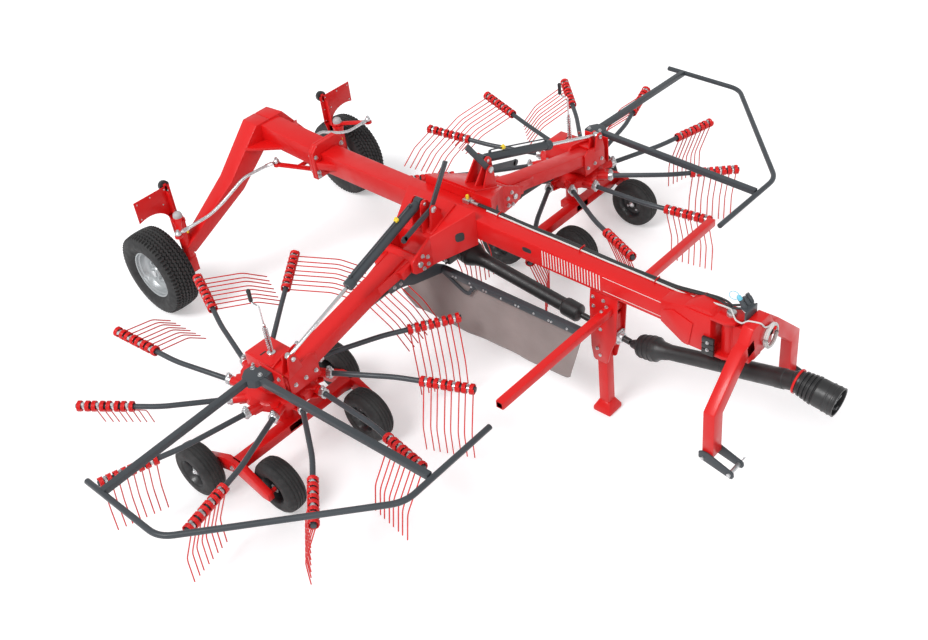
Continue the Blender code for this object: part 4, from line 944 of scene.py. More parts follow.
def steering():
    v = rearValues
    cx, cz = v['crankX'], v['crankZ']
    form = Form('steeringCrank', 0.004)
    form.turned(sleeve(0.0228, 0.045, -0.0125, 0.0125), (cx, 0, cz), zAxis, 32)
    start = Vector((cx, 0, cz))
    for s in (-1, 1):
        end = Vector((v['endX'], s * v['endY'], cz))
        along = (end - start).normalized()
        form.bar([start + along * 0.035, end], 0.045, 0.02)
        form.turned(post(0.03, -0.011, 0.011), end, zAxis, 24)
    form.bar([(cx - 0.16, -0.07, cz), (cx - 0.16, 0.07, cz)], 0.04, 0.018)
    form.done(redPaint, 'steering_crank', ('steering_crank',))
    for side, s in sides:
        inner = Vector((v['endX'], s * v['endY'], cz + 0.0273))
        outer = Vector((v['armX'], s * v['armY'], v['topZ'] + 0.0383))
        line = [inner, (-1.634, s * 0.229, 1.094), (-1.673, s * 0.420, 1.080), (-1.722, s * 0.650, 0.942),
                (-1.746, s * 0.770, 0.892), outer]
        rod = Form('tieRod_' + side, 0.002)
        pts = [Vector(p) for p in line]
        rod.tube(bent([pts[0] + (pts[1] - pts[0]) * 0.3] + pts[1:-1] + [pts[-1].lerp(pts[-2], 0.10)], 0.05, 4),
                 0.0125, 16)
        for p, q in ((pts[0], pts[1]), (pts[-1], pts[-2])):
            look = (q - p).normalized()
            rod.turned(v['rodNut'], p, look, 6)
            rod.turned(v['rodEye'], p, zAxis, 24)
        rod.done(zinc, 'tie_rod_' + side, ('tie_rod_' + side,))
        bolt('tie_rod_' + side, inner + Vector((0, 0, 0.024)), zAxis, 1.0)
        bolt('tie_rod_' + side, outer + Vector((0, 0, 0.024)), zAxis, 1.0)


signValues = {'x': -2.130, 'half': 0.003, 'lampY': 0.858, 'lampZ': 1.078,
              'board': [(0.823, 0.825), (0.823, 1.085), (1.170, 1.085), (1.170, 0.895), (1.121, 0.907),
                        (1.090, 0.911), (1.062, 0.911), (1.030, 0.907), (0.999, 0.899), (0.970, 0.886),
                        (0.945, 0.869), (0.925, 0.849), (0.909, 0.825)],
              'lobe': ((0.823, 0.84), (0.912, 0.84), (0.900, 0.79), (0.897, 0.66), (0.862, 0.66), (0.846, 0.74)),
              'lamp': [(0, -0.050), (0.030, -0.050), (0.040, -0.046), (0.0435, -0.036), (0.045, -0.020),
                       (0.045, -0.012), (0.040, -0.009), (0, -0.008)],
              'glass': [(0, -0.0545), (0.022, -0.053), (0.034, -0.0495), (0.034, -0.046), (0, -0.046)],
              'screws': ((0.850, 1.040), (0.880, 1.062), (0.850, 0.955), (0.925, 0.945), (1.145, 1.060),
                         (1.145, 0.925), (1.02, 1.062), (0.845, 0.850)),
              'greaseCap': [(0, 0), (0.012, 0), (0.012, 0.008), (0.008, 0.012), (0, 0.013)]}


def signBoard(side, s):
    v, k = signValues, rearValues
    x, kx, ky = v['x'], k['kingX'], k['kingY']
    form = Form('signBoard_' + side, 0.0015)
    form.slab('x', mirrored(s, v['board']), x - v['half'], x + v['half'])
    # bracket folded from plate, from the kingpin housing up to the lamp
    form.slab('y', [(x + 0.002, 0.66), (kx - 0.050, 0.62), (kx - 0.046, 0.79), (x + 0.050, 0.86), (x + 0.042, 1.03),
                    (x + 0.002, 1.045)], s * (ky - 0.020), s * (ky - 0.012), 0.002)
    form.block(x - 0.003, kx - 0.047, s * (ky - 0.02), s * (ky + 0.02), 0.66, 0.80, 0.004)
    form.slab('x', mirrored(s, v['lobe']), x - v['half'], x + v['half'])
    form.block(x - 0.02, x + 0.003, s * 0.845, s * 0.871, 1.030, 1.10, 0.003)
    form.done(redPaint, 'frame', ('sign_board_' + side,))
    lamp = Form('signLamp_' + side)
    lamp.turned(v['lamp'], (x, s * v['lampY'], v['lampZ']), xAxis, 40)
    lamp.done(plastic, 'frame')
    glass = Form('lampGlass_' + side)
    glass.turned(v['glass'], (x, s * v['lampY'], v['lampZ']), xAxis, 32)
    glass.done(lampGlass, 'frame')
    for y, z in v['screws']:
        bolt('frame', (x + 0.003, s * y, z), xAxis, 0.42)
    dot = Form('greaseCap_' + side)
    dot.turned(v['greaseCap'], (kx + 0.040, s * (ky - 0.020), 0.70), (0.8, -0.6 * s, 0), 14)
    dot.done(yellowPlastic, 'frame')


rearFrame()
steering()
for side, s in sides:
    knuckle(side, s)
    signBoard(side, s)
print('rear axle made')

armValues = {'x': 0.185, 'pivotY': 0.51, 'pivotZ': 1.100, 'width': 0.146, 'depth': 0.105, 'endY': 1.726,
             'endZ': 0.811, 'sleeveR': 0.05, 'half': 0.145, 'pinR': 0.022, 'cheek': 0.02, 'plate': 0.012,
             'hat': [(0.10, 1.352), (0.36, 1.252), (0.36, 1.268), (0.10, 1.372)],
             'cylinderLug': [(0.15, 1.31), (0.38, 1.235), (0.376, 1.40), (0.368, 1.475), (0.352, 1.498),
                             (0.33, 1.506), (0.308, 1.498), (0.287, 1.47)],
             'leverLug': [(0.20, 1.30), (0.36, 1.24), (0.325, 1.45), (0.30, 1.462), (0.275, 1.45)],
             'cheekBolts': ((0.432, 1.062), (0.478, 1.048), (0.432, 1.120), (0.478, 1.150))}
liftValues = {'x': 0.240, 'baseY': 0.330, 'baseZ': 1.475, 'eyeY': 1.649, 'eyeZ': 1.012, 'barrelR': 0.033,
              'rodR': 0.013, 'pinR': 0.012, 'long': 0.776,
              'valveBody': [(0, -0.013), (0.012, -0.013), (0.016, -0.009), (0.016, 0.012), (0.012, 0.018),
                            (0, 0.019)], 'valveStem': [(0, 0.0), (0.009, 0.0), (0.009, 0.019), (0.007, 0.022),
                                                       (0, 0.022)]}
leverValues = {'x': 0.320, 'thick': 0.012, 'wide': 0.045, 'foot': (0.585, 1.337), 'pivot': (0.301, 1.43),
               'tip': (0.108, 1.708),
               'pinHead': [(0, 0.017), (0.024, 0.017), (0.024, 0.026), (0.016, 0.032), (0, 0.032)]}


def armBracket(side, s):
    a, c = armValues, liftValues
    x0, x1 = a['x'] - a['half'] - 0.005, a['x'] + a['half'] + 0.005
    form = Form('armBracket_' + side, 0.006)
    ends = ((s * 0.0828, x0 - 0.155, x1 + 0.185, 1.078, 1.363), (s * 0.39, x0 - 0.0195, x1 + 0.0195, 1.020, 1.250))
    form.skin([[(xa, y, za), (xb, y, za), (xb, y, zb), (xa, y, zb)] for y, xa, xb, za, zb in ends])
    cheek = mirrored(s, [(0.36, 1.022), (0.39, 1.021), (a['pivotY'], 1.030), (0.56, 1.045), (0.58, 1.065),
             (0.58, 1.135), (0.568, 1.155), (0.54, 1.170), (0.39, 1.248), (0.36, 1.255)])
    for xa, xb in ((x0 - a['cheek'], x0), (x1, x1 + a['cheek'])):
        form.slab('x', cheek, xa, xb, 0.003)
    # folded hat plate along the top, and the lugs of the lift cylinder and the lock lever
    form.slab('x', mirrored(s, a['hat']), x0 - 0.02, x1 + 0.02, 0.004)
    lug = mirrored(s, a['cylinderLug'])
    for xa in (-0.052, 0.040):
        form.slab('x', lug, xa + c['x'], xa + c['x'] + a['plate'], 0.002)
    face = leverValues['x'] + leverValues['thick'] / 2 + seat
    form.slab('x', mirrored(s, a['leverLug']), face, face + a['plate'], 0.002)
    form.done(redPaint, 'frame', ('arm_bracket_' + side,))
    pins = Form('bracketPins_' + side, 0.002)
    pins.tube([(x0 - a['cheek'] - 0.012, s * a['pivotY'], a['pivotZ']),
               (x1 + a['cheek'] + 0.012, s * a['pivotY'], a['pivotZ'])], a['pinR'], 24, edge=0.003)
    pins.tube([(c['x'] - 0.058, s * c['baseY'], c['baseZ']), (c['x'] + 0.058, s * c['baseY'], c['baseZ'])],
              c['pinR'], 16)
    pins.done(zinc, 'frame')
    # a flat black oval in the slot of the bracket's face: painted shade of the opening
    opening = Form('bracketOpening_' + side, 0.001)
    slot = [(s * (0.20 + y), 1.185 + z) for y, z in oval(0.030, 0.6, 0.036, 0.6, 16)]
    lean = (0.185 - 0.0195) / 0.307
    opening.skin([[(x1 + 0.0195 + lean * (0.39 - abs(y)) + off, y, z) for y, z in slot] for off in (-0.003, 0.0022)])
    opening.done(plastic, 'frame')
    for y, z in a['cheekBolts']:
        bolt('frame', (x1 + a['cheek'], s * y, z), xAxis, 1.1)
        bolt('frame', (x0 - a['cheek'], s * y, z), (-1, 0, 0), 1.1)


def liftCylinder(side, s):
    c = liftValues
    base, eye = Vector((c['x'], s * c['baseY'], c['baseZ'])), Vector((c['x'], s * c['eyeY'], c['eyeZ']))
    along = (eye - base).normalized()
    over = Vector(xAxis).cross(along) * s
    if over.z < 0:
        over = -over
    wall, long, pinBore, rodBore = c['barrelR'], c['long'], c['pinR'] + pinPlay, c['rodR'] + pinPlay
    high = wall + 0.022

    def spot(far, off):
        return base + along * far + over * off
    barrel = Form('liftBarrel_' + side, 0.002)
    barrel.turned(sleeve(pinBore, 0.030, -0.028, 0.028), base, xAxis, 28)
    barrel.turned([(0, 0.024), (wall - 0.006, 0.024), (wall, 0.032), (wall, long - 0.05),
                   (wall + 0.005, long - 0.045), (wall + 0.006, long - 0.03), (wall + 0.006, long + 0.008),
                   (wall + 0.002, long + 0.012), (rodBore, long + 0.012), (rodBore, long - 0.02), (0, long - 0.02)],
                  base, along, 32)
    # the two hose ports, and the pipe that joins them over the barrel
    for far in (0.075, long - 0.045):
        barrel.tube([spot(far, wall - 0.004), spot(far, wall + 0.020)], 0.011, 12)
    barrel.done(greyPaint, 'lift_barrel_' + side, ('lift_barrel_' + side,))
    pipe = Form('liftPipe_' + side, 0)
    line = [spot(0.075, wall + 0.016), spot(0.085, high), spot(long - 0.075, high), spot(long - 0.047, wall + 0.014)]
    pipe.wire(bent(line, 0.014, 3), 0.0055, 10)
    pipe.done(greyPaint, 'lift_barrel_' + side)
    cap = Form('liftCap_' + side, 0.002)
    cap.turned(c['valveBody'], spot(0.22, high), along, 18)
    cap.turned(c['valveStem'], spot(0.22, high), over, 14)
    cap.done(yellowPlastic, 'lift_barrel_' + side)
    rod = Form('liftRod_' + side, 0.002)
    rod.tube([spot(0.73, 0), eye - along * 0.018], c['rodR'], 24)
    bore = c['pinR'] * 0.4
    rod.turned([(bore, -0.020), (0.024, -0.020), (0.026, -0.017), (0.026, 0.017), (0.024, 0.020), (bore, 0.020)],
               eye, xAxis, 28)
    rod.done(chrome, 'lift_rod_' + side, ('lift_rod_' + side,))
    pin = Form('liftEyePin_' + side, 0.002)
    out = Vector(xAxis)
    pin.tube([eye - out * 0.046, eye + out * 0.046], c['pinR'], 18)
    pin.tube([eye + out * 0.036, eye + out * 0.050], 0.018, 6)
    pin.done(zinc, 'arm_' + side)


def rotorArm(side, s):
    a = armValues
    start, end = Vector((a['x'], s * a['pivotY'], a['pivotZ'])), Vector((a['x'], s * a['endY'], a['endZ']))
    along = (end - start).normalized()
    form = Form('rotorArm_' + side, 0.011)
    form.turned(sleeve(a['pinR'] + pinPlay, a['sleeveR'], -a['half'], a['half']), start, xAxis, 36)
    form.bar([start + along * 0.034, end], a['width'], a['depth'])
    form.bar([start + along * 0.034, start + along * 0.15], 0.27, 0.07, edge=0.006)
    # two webs between the sleeve and the arm, closing in towards it
    for off in (-1, 1):
        form.bar([start + along * 0.03 + Vector((off * 0.105, 0, 0)),
                  start + along * 0.33 + Vector((off * 0.070, 0, 0))], 0.012, 0.080, edge=0.002)
    form.done(redPaint, 'arm_' + side, ('rotor_arm_' + side,))
    cap = Form('armEndCap_' + side, 0.003)
    cap.bar([end - along * 0.002, end + along * 0.004], a['width'] - 0.012, a['depth'] - 0.012)
    cap.done(redPaint, 'arm_' + side)


def armSlope():
    a = armValues
    return atan2(a['pivotZ'] - a['endZ'], a['endY'] - a['pivotY'])


# height of the sloping arm's lower and upper face at one place across the machine
def armUnder(y):
    a = armValues
    middle = a['pivotZ'] + (a['endZ'] - a['pivotZ']) * (y - a['pivotY']) / (a['endY'] - a['pivotY'])
    return middle - a['depth'] / 2 / cos(armSlope())


def armOver(y):
    return armUnder(y) + armValues['depth'] / cos(armSlope())


headValues = {'top': 0.752, 'housing': 0.900, 'columnR': 0.05,
              'cover': [(0.10, -0.165), (0.15, -0.14), (0.19, -0.10), (0.22, -0.05), (0.23, 0.0), (0.22, 0.05),
                        (0.19, 0.10), (0.15, 0.145), (0.10, 0.175), (-0.19, 0.175), (-0.225, 0.145), (-0.245, 0.10),
                        (-0.245, -0.10), (-0.22, -0.145), (-0.16, -0.165)],
              'greaseSpots': ((0.205, 1.705), (0.03, 1.47)),
              'greaseCap': [(0, 0), (0.012, 0), (0.012, 0.006), (0.006, 0.012), (0, 0.012)]}
gearValues = {'x': 0.113, 'z': 0.903, 'half': 0.11, 'outletX': 0.14,
              'outlet': [(0, -0.01), (0.050, -0.01), (0.050, 0.10), (0.060, 0.115), (0.062, 0.158), (0, 0.158)],
              'bolts': ((-0.075, 0.075), (0.075, 0.075), (-0.075, -0.075), (0.075, -0.075))}


def crossLine(s):
    a = Vector((gearValues['x'], s * 0.31, gearValues['z'] - 0.01))
    b = Vector((rotorValues['x'] + 0.03, s * (rotorValues['y'] - 0.235), 0.765))
    return a, b, (b - a).normalized()


def rotorHead(side, s):
    v, h, a, c = rotorValues, headValues, armValues, liftValues
    body, y = 'arm_' + side, s * v['y']
    centre = (v['x'], y, v['z'])
    column = Form('rotorColumn_' + side)
    column.turned(post(h['columnR'], 0.34685, 0.73), (v['x'], y, 0), zAxis, 32)
    column.lean(centre, v['lean'])
    column.done(redPaint, body)
    form = Form('rotorHead_' + side, 0.006)
    cover = h['cover']
    form.slab('z', [(v['x'] + p + 0.02, y + s * q) for p, q in cover], v['z'] + 0.080, h['top'])
    x0, x1 = v['x'] - 0.17, a['x'] - a['width'] / 2 - 0.005
    form.block(x0, x1, y - s * 0.12, y + s * 0.10, 0.735, h['housing'], 0.012)
    # folded flange round the housing's foot and a raised lid
    form.block(x0 - 0.022, x1, y - s * 0.142, y + s * 0.122, 0.748, 0.756, 0.002)
    form.block(x0 + 0.014, x1 - 0.012, y - s * 0.108, y + s * 0.088, h['housing'] - 0.002, h['housing'] + 0.004,
               0.002)
    p, q, along = crossLine(s)
    form.tube([q + along * seat, q + along * 0.10], 0.032, 20)
    low, half = h['top'] - 0.01, a['width'] / 2 + seat
    y0, y1 = v['y'] - 0.16, a['endY'] - 0.02
    form.slab('x', mirrored(s, [(y0, low), (y0, armUnder(y0) - seat), (y1, armUnder(y1) - seat), (y1, low)]),
              a['x'] - 0.10, a['x'] + 0.085)
    for xa, xb in ((a['x'] - half - 0.012, a['x'] - half), (a['x'] + half, a['x'] + half + 0.012)):
        form.slab('x', mirrored(s, [(y0, 0.735), (a['endY'] - 0.01, 0.735), (a['endY'] - 0.01, 0.895), (1.62, 0.93),
                                    (1.50, 0.95), (y0, 0.92)]), xa, xb, 0.003)
    y0, y1 = 1.585, 1.712
    form.slab('x', mirrored(s, [(y0, armOver(y0) + seat), (y1, armOver(y1) + seat), (y1, armOver(y1) + 0.016),
                    (y0, armOver(y0) + 0.016)]), a['x'] - half - 0.012, a['x'] + half + 0.012, 0.003)
    ear = mirrored(s, [(y0, armOver(y0) + 0.004), (y1, armOver(y1) + 0.004), (1.682, c['eyeZ'] + 0.012),
                       (1.670, c['eyeZ'] + 0.024), (1.628, c['eyeZ'] + 0.024), (1.616, c['eyeZ'] + 0.012)])
    for xa in (c['x'] - 0.034, c['x'] + 0.022):
        form.slab('x', ear, xa, xa + 0.012, 0.002)
    form.block(a['x'] - 0.14, a['x'] + 0.09, s * (a['endY'] + 0.025), s * (a['endY'] + 0.037), 0.722, 0.945, 0.003)
    form.block(a['x'] - 0.10, a['x'] + 0.07, s * (a['endY'] - 0.03), s * (a['endY'] + 0.03), 0.722, 0.750, 0.003)
    form.done(redPaint, body, ('rotor_head_' + side,))
    # a thin black strip on the lid where the slot is: painted shade of the opening
    slotShade = Form('housingSlot_' + side, 0.0008)
    slotShade.block(v['x'] - 0.052, v['x'] - 0.038, y + s * 0.010, y + s * 0.060, h['housing'] + 0.003,
               h['housing'] + 0.0052)
    slotShade.done(plastic, body)
    spot = Form('greasePoints_' + side)
    for x, q in h['greaseSpots']:
        spot.turned(h['greaseCap'], (x, s * q, (armOver(q) if x > 0.1 else h['top'] + 0.004)), zAxis, 12)
    spot.done(yellowPlastic, body)
    for x, q in ((x0 + 0.03, -0.131), (x1 - 0.05, -0.131), (x0 - 0.011, 0.05), (x0 - 0.011, -0.06),
                 (x0 + 0.03, 0.111)):
        bolt(body, (x, y + s * q, 0.756), zAxis, 0.8)
    for q in (1.49, 1.58, 1.67):
        bolt(body, (a['x'] + half + 0.012, s * q, 0.80), xAxis, 1.1)
        bolt(body, (a['x'] - half - 0.012, s * q, 0.80), (-1, 0, 0), 1.1)


def springPath(base, radius, height, turns, steps=12):
    return [Vector(base) + Vector((radius * cos(2 * pi * k / steps), radius * sin(2 * pi * k / steps),
                                   height * k / (turns * steps))) for k in range(turns * steps + 1)]


crankValues = {'offset': -0.075, 'springR': 0.0165, 'springLong': 0.185, 'springTurns': 11, 'wireR': 0.0030,
               'barR': 0.0065,
               'post': [(0, 0), (0.030, 0), (0.030, 0.012), (0.022, 0.018), (0.012, 0.022), (0.009, 0.03),
                        (0.009, 0.22), (0.012, 0.225), (0.012, 0.245), (0.006, 0.25), (0.006, 0.38), (0, 0.38)],
               'grip': [(0, 0.405), (0.012, 0.405), (0.0145, 0.415), (0.0135, 0.46), (0.015, 0.492), (0.010, 0.50),
                        (0, 0.50)]}


def heightCrank(side, s):
    v, h, c = rotorValues, headValues, crankValues
    base = Vector((v['x'], s * v['y'], h['housing'] + seat))
    body = 'arm_' + side
    form = Form('heightCrank_' + side, 0.001)
    form.turned(c['post'], base, zAxis, 20)
    form.wire(springPath(base + Vector((0, 0, 0.035)), c['springR'], c['springLong'], c['springTurns']), c['wireR'],
              6)
    form.wire(bent([base + Vector((0, 0, 0.37)), base + Vector((0, 0, 0.395)), base + Vector((c['offset'], 0, 0.395)),
                    base + Vector((c['offset'], 0, 0.45))], 0.02, 4), c['barR'], 10)
    form.done(chrome, body, ('height_crank_' + side,))
    grip = Form('crankGrip_' + side, 0.003)
    grip.turned(c['grip'], base + Vector((c['offset'], 0, 0)), zAxis, 20)
    grip.done(plastic, body)


def lockLever(side, s):
    v = leverValues
    foot, pivot, tip = [Vector((v['x'], s * v[key][0], v[key][1])) for key in ('foot', 'pivot', 'tip')]
    form = Form('lockLever_' + side, 0.003)
    form.bar([foot, pivot, tip], v['wide'], v['thick'], up=xAxis)
    form.turned(post(0.026, -0.006, 0.006), foot, xAxis, 24)
    form.done(greyPaint, 'frame', ('lock_lever_' + side,))
    pin = Form('leverPin_' + side, 0.003)
    pin.turned(v['pinHead'], pivot, xAxis, 28)
    pin.turned(post(0.010, -0.014, 0.030), pivot, xAxis, 16)
    pin.done(zinc, 'frame')


for side, s in sides:
    armBracket(side, s)
    liftCylinder(side, s)
    rotorArm(side, s)
    rotorHead(side, s)
    heightCrank(side, s)
    lockLever(side, s)
print('arms made')

guardValues = {'tubeR': 0.0200, 'strut': 0.045, 'hub': (0.085, 1.850, 0.910),
               'rail': ((-0.029, 3.068, 0.903), (0.684, 3.068, 0.886), (1.632, 2.028, 0.869), (1.620, 1.271, 0.865)),
               'ends': ((0.125, 3.064, 0.899), (1.607, 1.793, 0.868)),
               'hubPlate': [(0.015, 1.79), (0.165, 1.79), (0.175, 1.84), (0.160, 1.895), (0.115, 1.925),
                            (0.050, 1.915), (0.010, 1.86)], 'hubBolts': ((0.045, 1.815), (0.140, 1.830))}


def guardFrame(side, s):
    v, a = guardValues, armValues
    form = Form('guardFrame_' + side, 0.004)
    rail = [(x, s * y, z) for x, y, z in v['rail']]
    form.tube(bent(rail, 0.09, 6), v['tubeR'], 20, edge=0.003)
    hx, hy, hz = v['hub']
    hub = Vector((hx, s * hy, hz))
    for x, y, z in v['ends']:
        form.bar([hub, (x, s * y, z)], v['strut'], v['strut'], edge=0.005)
    form.slab('z', mirrored(s, v['hubPlate'], 1), 0.874, 0.934)
    form.block(0.06, 0.18, s * (a['endY'] + 0.0373), s * 1.82, 0.855, 0.930)
    form.done(greyPaint, 'arm_' + side, ('guard_frame_' + side,))
    for x, y in v['hubBolts']:
        bolt('arm_' + side, (x, s * y, 0.934), zAxis, 1.15)
    for x in (-0.02, 0.24):
        for z in (0.775, 0.90):
            bolt('arm_' + side, (x, s * (a['endY'] + 0.037), z), (0, s, 0), 1.0)


def rotorChassis(side, s):
    v, r = wheelValues, rotorValues
    mid, h, z = (v['frontX'] + v['rearX']) / 2, 0.045, 0.315
    bar = v['bar']
    form = Form('rotorChassis_' + side, 0.006)
    form.block(mid - h, mid + h, s * (v['innerY'] - bar / 2 + 0.002), s * (v['outerY'] - 0.002), z - h,
               z + h - 0.0157)
    form.block(r['x'] - 0.075, mid + h, s * (r['y'] - 0.08), s * (r['y'] + 0.08), z - h + 0.01, 0.345 - seat)
    for y in (v['innerY'], v['outerY']):
        low = v['radius'] - 0.035
        rail = [(v['rearX'] - 0.04, low + 0.005), (v['rearX'] + 0.03, low), (mid, z - h - 0.02),
                (v['frontX'] - 0.03, low), (v['frontX'] + 0.04, low + 0.005),
                (v['frontX'] + 0.04, v['radius'] + 0.03), (mid + 0.08, z + h - 0.0157), (mid - 0.08, z + h - 0.0157),
                (v['rearX'] - 0.04, v['radius'] + 0.03)]
        form.slab('y', rail, s * (y - bar / 2), s * (y + bar / 2), 0.007)
    for _, x, y, out in rotorWheelPlaces():
        barY = v['outerY'] if y > r['y'] else v['innerY']
        start = s * (barY + out * (bar / 2 - 0.005))
        form.tube([(x, start, v['radius']), (x, s * (y + out * 0.05), v['radius'])], 0.016, 16)
    # pivot cap of each tandem bar
    for y, out in ((v['innerY'], -1), (v['outerY'], 1)):
        form.turned(v['pivotCap'], (mid, s * (y + out * bar / 2), z - 0.006), (0, s * out, 0), 28)
        bolt('arm_' + side, (mid, s * (y + out * (bar / 2 + 0.010)), z - 0.006), (0, s * out, 0), 1.2)
    form.done(redPaint, 'arm_' + side, ('rotor_chassis_' + side,))


driveValues = {'jointX': 1.771, 'jointZ': 0.706, 'coneX': 2.970, 'coneZ': 0.980, 'guardLong': 0.250, 'guardR': 0.095,
               'hang': radians(-7), 'shaftR': 0.022, 'crossAt': 0.226,
               'coneRing': [(0.055, -0.022), (0.079, -0.022), (0.082, -0.017), (0.080, -0.009), (0.055, -0.009)],
               'yokeProfile': [(0, 0.09), (0.028, 0.09), (0.030, 0.15), (0.024, 0.165), (0, 0.165)]}


# a moulded guard cone: smooth wall with ribs standing proud
def ribbed(start, end, radius0, radius1, ribs, proud=0.005, width=0.010):
    profile = []
    for k in range(ribs):
        c = start + (end - start) * (k + 0.5) / ribs
        for off, up in ((-0.5, 0), (-0.3, 1), (0.3, 1), (0.5, 0)):
            h = c + off * width
            t = (h - start) / (end - start)
            profile.append((radius0 + (radius1 - radius0) * t + up * proud, h))
    return [(radius0, start)] + profile + [(radius1, end)]


def crossShaft(side, s):
    a, b, along = crossLine(s)
    far = (b - a).length
    form = Form('crossShaft_' + side, 0)
    boot = ribbed(0.012, 0.115, 0.058, 0.070, 3, 0.004)
    tail = ribbed(far - 0.19, far - 0.10, 0.052, 0.060, 2, 0.004)
    profile = [(0, 0), (0.046, 0), (0.052, 0.004)] + boot
    profile += [(0.066, 0.130), (0.050, 0.155), (0.041, 0.175), (0.040, 0.20), (0.040, far * 0.5 - 0.02),
                (0.043, far * 0.5 - 0.015), (0.043, far * 0.5 + 0.01), (0.038, far * 0.5 + 0.014),
                (0.038, far - 0.22)] + tail
    profile += [(0.050, far - 0.09), (0.030, far - 0.06), (0.030, far), (0, far)]
    form.turned(profile, a, along, 36)
    form.done(plastic, 'arm_' + side, ('cross_shaft_' + side,))


# the rear shaft's line: gearbox outlet, joint by the stand, and the way from one to the other
def shaftLine():
    stub = Vector((gearValues['x'] + gearValues['outletX'], 0, gearValues['z']))
    joint = Vector((driveValues['jointX'], 0, driveValues['jointZ']))
    return stub, joint, (joint - stub).normalized()


def gearbox():
    v = gearValues
    g, x, z = v['half'], v['x'], v['z']
    form = Form('gearbox', 0.012)
    form.block(x - g, x + g, -g, g, z - g, z + g)
    for off in (-0.07, 0, 0.07):
        form.block(x + off - 0.006, x + off + 0.006, -g - 0.006, g + 0.006, z - g - 0.004, z + g * 0.8, 0.003)
    form.slab('y', [(x - 0.07, z + g - 0.01), (x + 0.07, z + g - 0.01), (x + 0.07, beamLow(x + 0.07) - seat),
                    (x - 0.07, beamLow(x - 0.07) - seat)], -0.07, 0.07, 0.004)
    for s in (-1, 1):
        form.turned(v['outlet'], (x, s * g, z - 0.002), (0, s, -0.06), 36)
    stub, _, back = shaftLine()
    form.tube([stub - back * 0.05, stub - back * seat], 0.05, 28)
    form.done(plastic, 'frame', ('centre_gearbox',))
    for s in (-1, 1):
        for a, b in v['bolts']:
            bolt('frame', (x + a, s * g, z + b), (0, s, 0), 1.0)


def frontShaft():
    d = driveValues
    joint, cone = Vector((d['jointX'], 0, d['jointZ'])), Vector((d['coneX'], 0, d['coneZ']))
    along = (cone - joint).normalized()
    far = (cone - joint).length
    form = Form('frontShaft', 0)
    ball = [(0.030 * sin(t), -0.030 * cos(t)) for t in (0, 0.35, 0.7, 1.05, 1.35, 1.57)]
    boot = ball + [(0.036, 0.02), (0.050, 0.045)] + ribbed(0.060, 0.175, 0.074, 0.084, 3, 0.005, 0.012)
    tube = [(0.084, 0.195), (0.074, 0.205), (0.062, 0.235), (0.055, 0.28), (0.052, 0.29), (0.052, 0.70),
            (0.054, 0.702), (0.062, 0.71), (0.062, far - 0.16), (0.064, far - 0.155), (0.064, far - 0.10),
            (0.060, far - 0.095), (0.060, far - 0.03), (0.070, far - 0.02), (0.070, far + 0.01), (0, far + 0.01)]
    form.turned(boot + tube, joint, along, 40)
    hang = Vector((cos(d['hang']), 0, sin(d['hang'])))
    wall, long = d['guardR'], d['guardLong']
    outer = [(0, -0.015), (0.066, -0.015), (0.070, -0.010)] + ribbed(0.004, 0.110, 0.070, wall - 0.010, 4, 0.0085,
                                                                     0.019)
    outer += [(wall - 0.005, 0.118), (wall - 0.005, 0.178), (wall - 0.001, 0.182), (wall - 0.001, 0.188),
              (wall - 0.004, 0.192), (wall - 0.003, 0.214), (wall, 0.218), (wall, 0.224), (wall - 0.003, 0.228),
              (wall - 0.002, long - 0.006), (wall, long - 0.002), (wall, long), (wall - 0.010, long),
              (wall - 0.012, long - 0.01), (wall - 0.012, 0.09), (0.03, 0.09), (0.03, 0.12), (0, 0.12)]
    form.turned(outer, cone, hang, 48)
    form.done(plastic, 'front_shaft', ('pto_shaft_front',), smooth=30)
    ring = Form('coneRing', 0.001)
    ring.turned(d['coneRing'], cone, hang, 48)
    ring.done(redPaint, 'front_shaft')
    yoke = Form('coneYoke', 0.003)
    side = Vector((0, 1, 0))
    over = hang.cross(side)
    yoke.turned(d['yokeProfile'], cone, hang, 24)
    for sign in (-1, 1):
        yoke.bar([cone + hang * 0.15 + over * sign * 0.030, cone + hang * 0.248 + over * sign * 0.050], 0.034, 0.014)
        yoke.turned(post(0.022, -0.010, 0.010), cone + hang * d['crossAt'] + over * sign * 0.048, over, 20)
    cross = cone + hang * d['crossAt']
    yoke.tube([cross - over * 0.060, cross + over * 0.060], 0.009, 14)
    yoke.tube([cross - side * 0.056, cross + side * 0.056], 0.010, 14)
    yoke.done(blackPaint, 'front_shaft')


# the rear shaft with its boots
def rearShaft():
    d = driveValues
    stub, joint, back = shaftLine()
    long = (joint - stub).length - 0.0303
    rear = Form('rearShaft', 0)
    boot = [(0, 0.0), (0.042, 0.0), (0.060, 0.008)] + ribbed(0.022, 0.115, 0.084, 0.092, 3, 0.004, 0.012)
    tube = [(0.088, 0.130), (0.070, 0.165), (0.058, 0.20), (0.052, 0.24), (0.050, 0.25), (0.050, long - 0.56),
            (0.053, long - 0.555), (0.062, long - 0.545), (0.065, long - 0.53), (0.065, long - 0.43),
            (0.058, long - 0.418), (d['shaftR'], long - 0.40), (d['shaftR'], long), (0, long)]
    rear.turned(boot + tube, stub, back, 40)
    rear.done(plastic, 'frame', ('pto_shaft_rear',), smooth=30)


standValues = {'x': 1.530, 'pivotZ': 0.535, 'side': 0.08, 'gap': 0.004, 'plate': 0.012,
               'plateBolts': ((1.490, 1.022), (1.575, 1.022), (1.490, 0.945), (1.575, 0.945), (1.500, 0.850),
                              (1.562, 0.868), (1.520, 0.842), (1.540, 0.765), (1.507, 0.585)),
               'bearingProfile': [(0.0232, 0.004), (0.042, 0.004), (0.040, 0.020), (0.036, 0.026), (0.036, 0.036),
                                  (0.032, 0.040), (0.0232, 0.040)],
               'bearingBolts': ((-0.031, -0.034), (0.031, -0.034), (-0.031, 0.034), (0.031, 0.034))}
barValues = {'x': 1.620, 'z': 0.962, 'side': 0.06, 'half': 1.171}


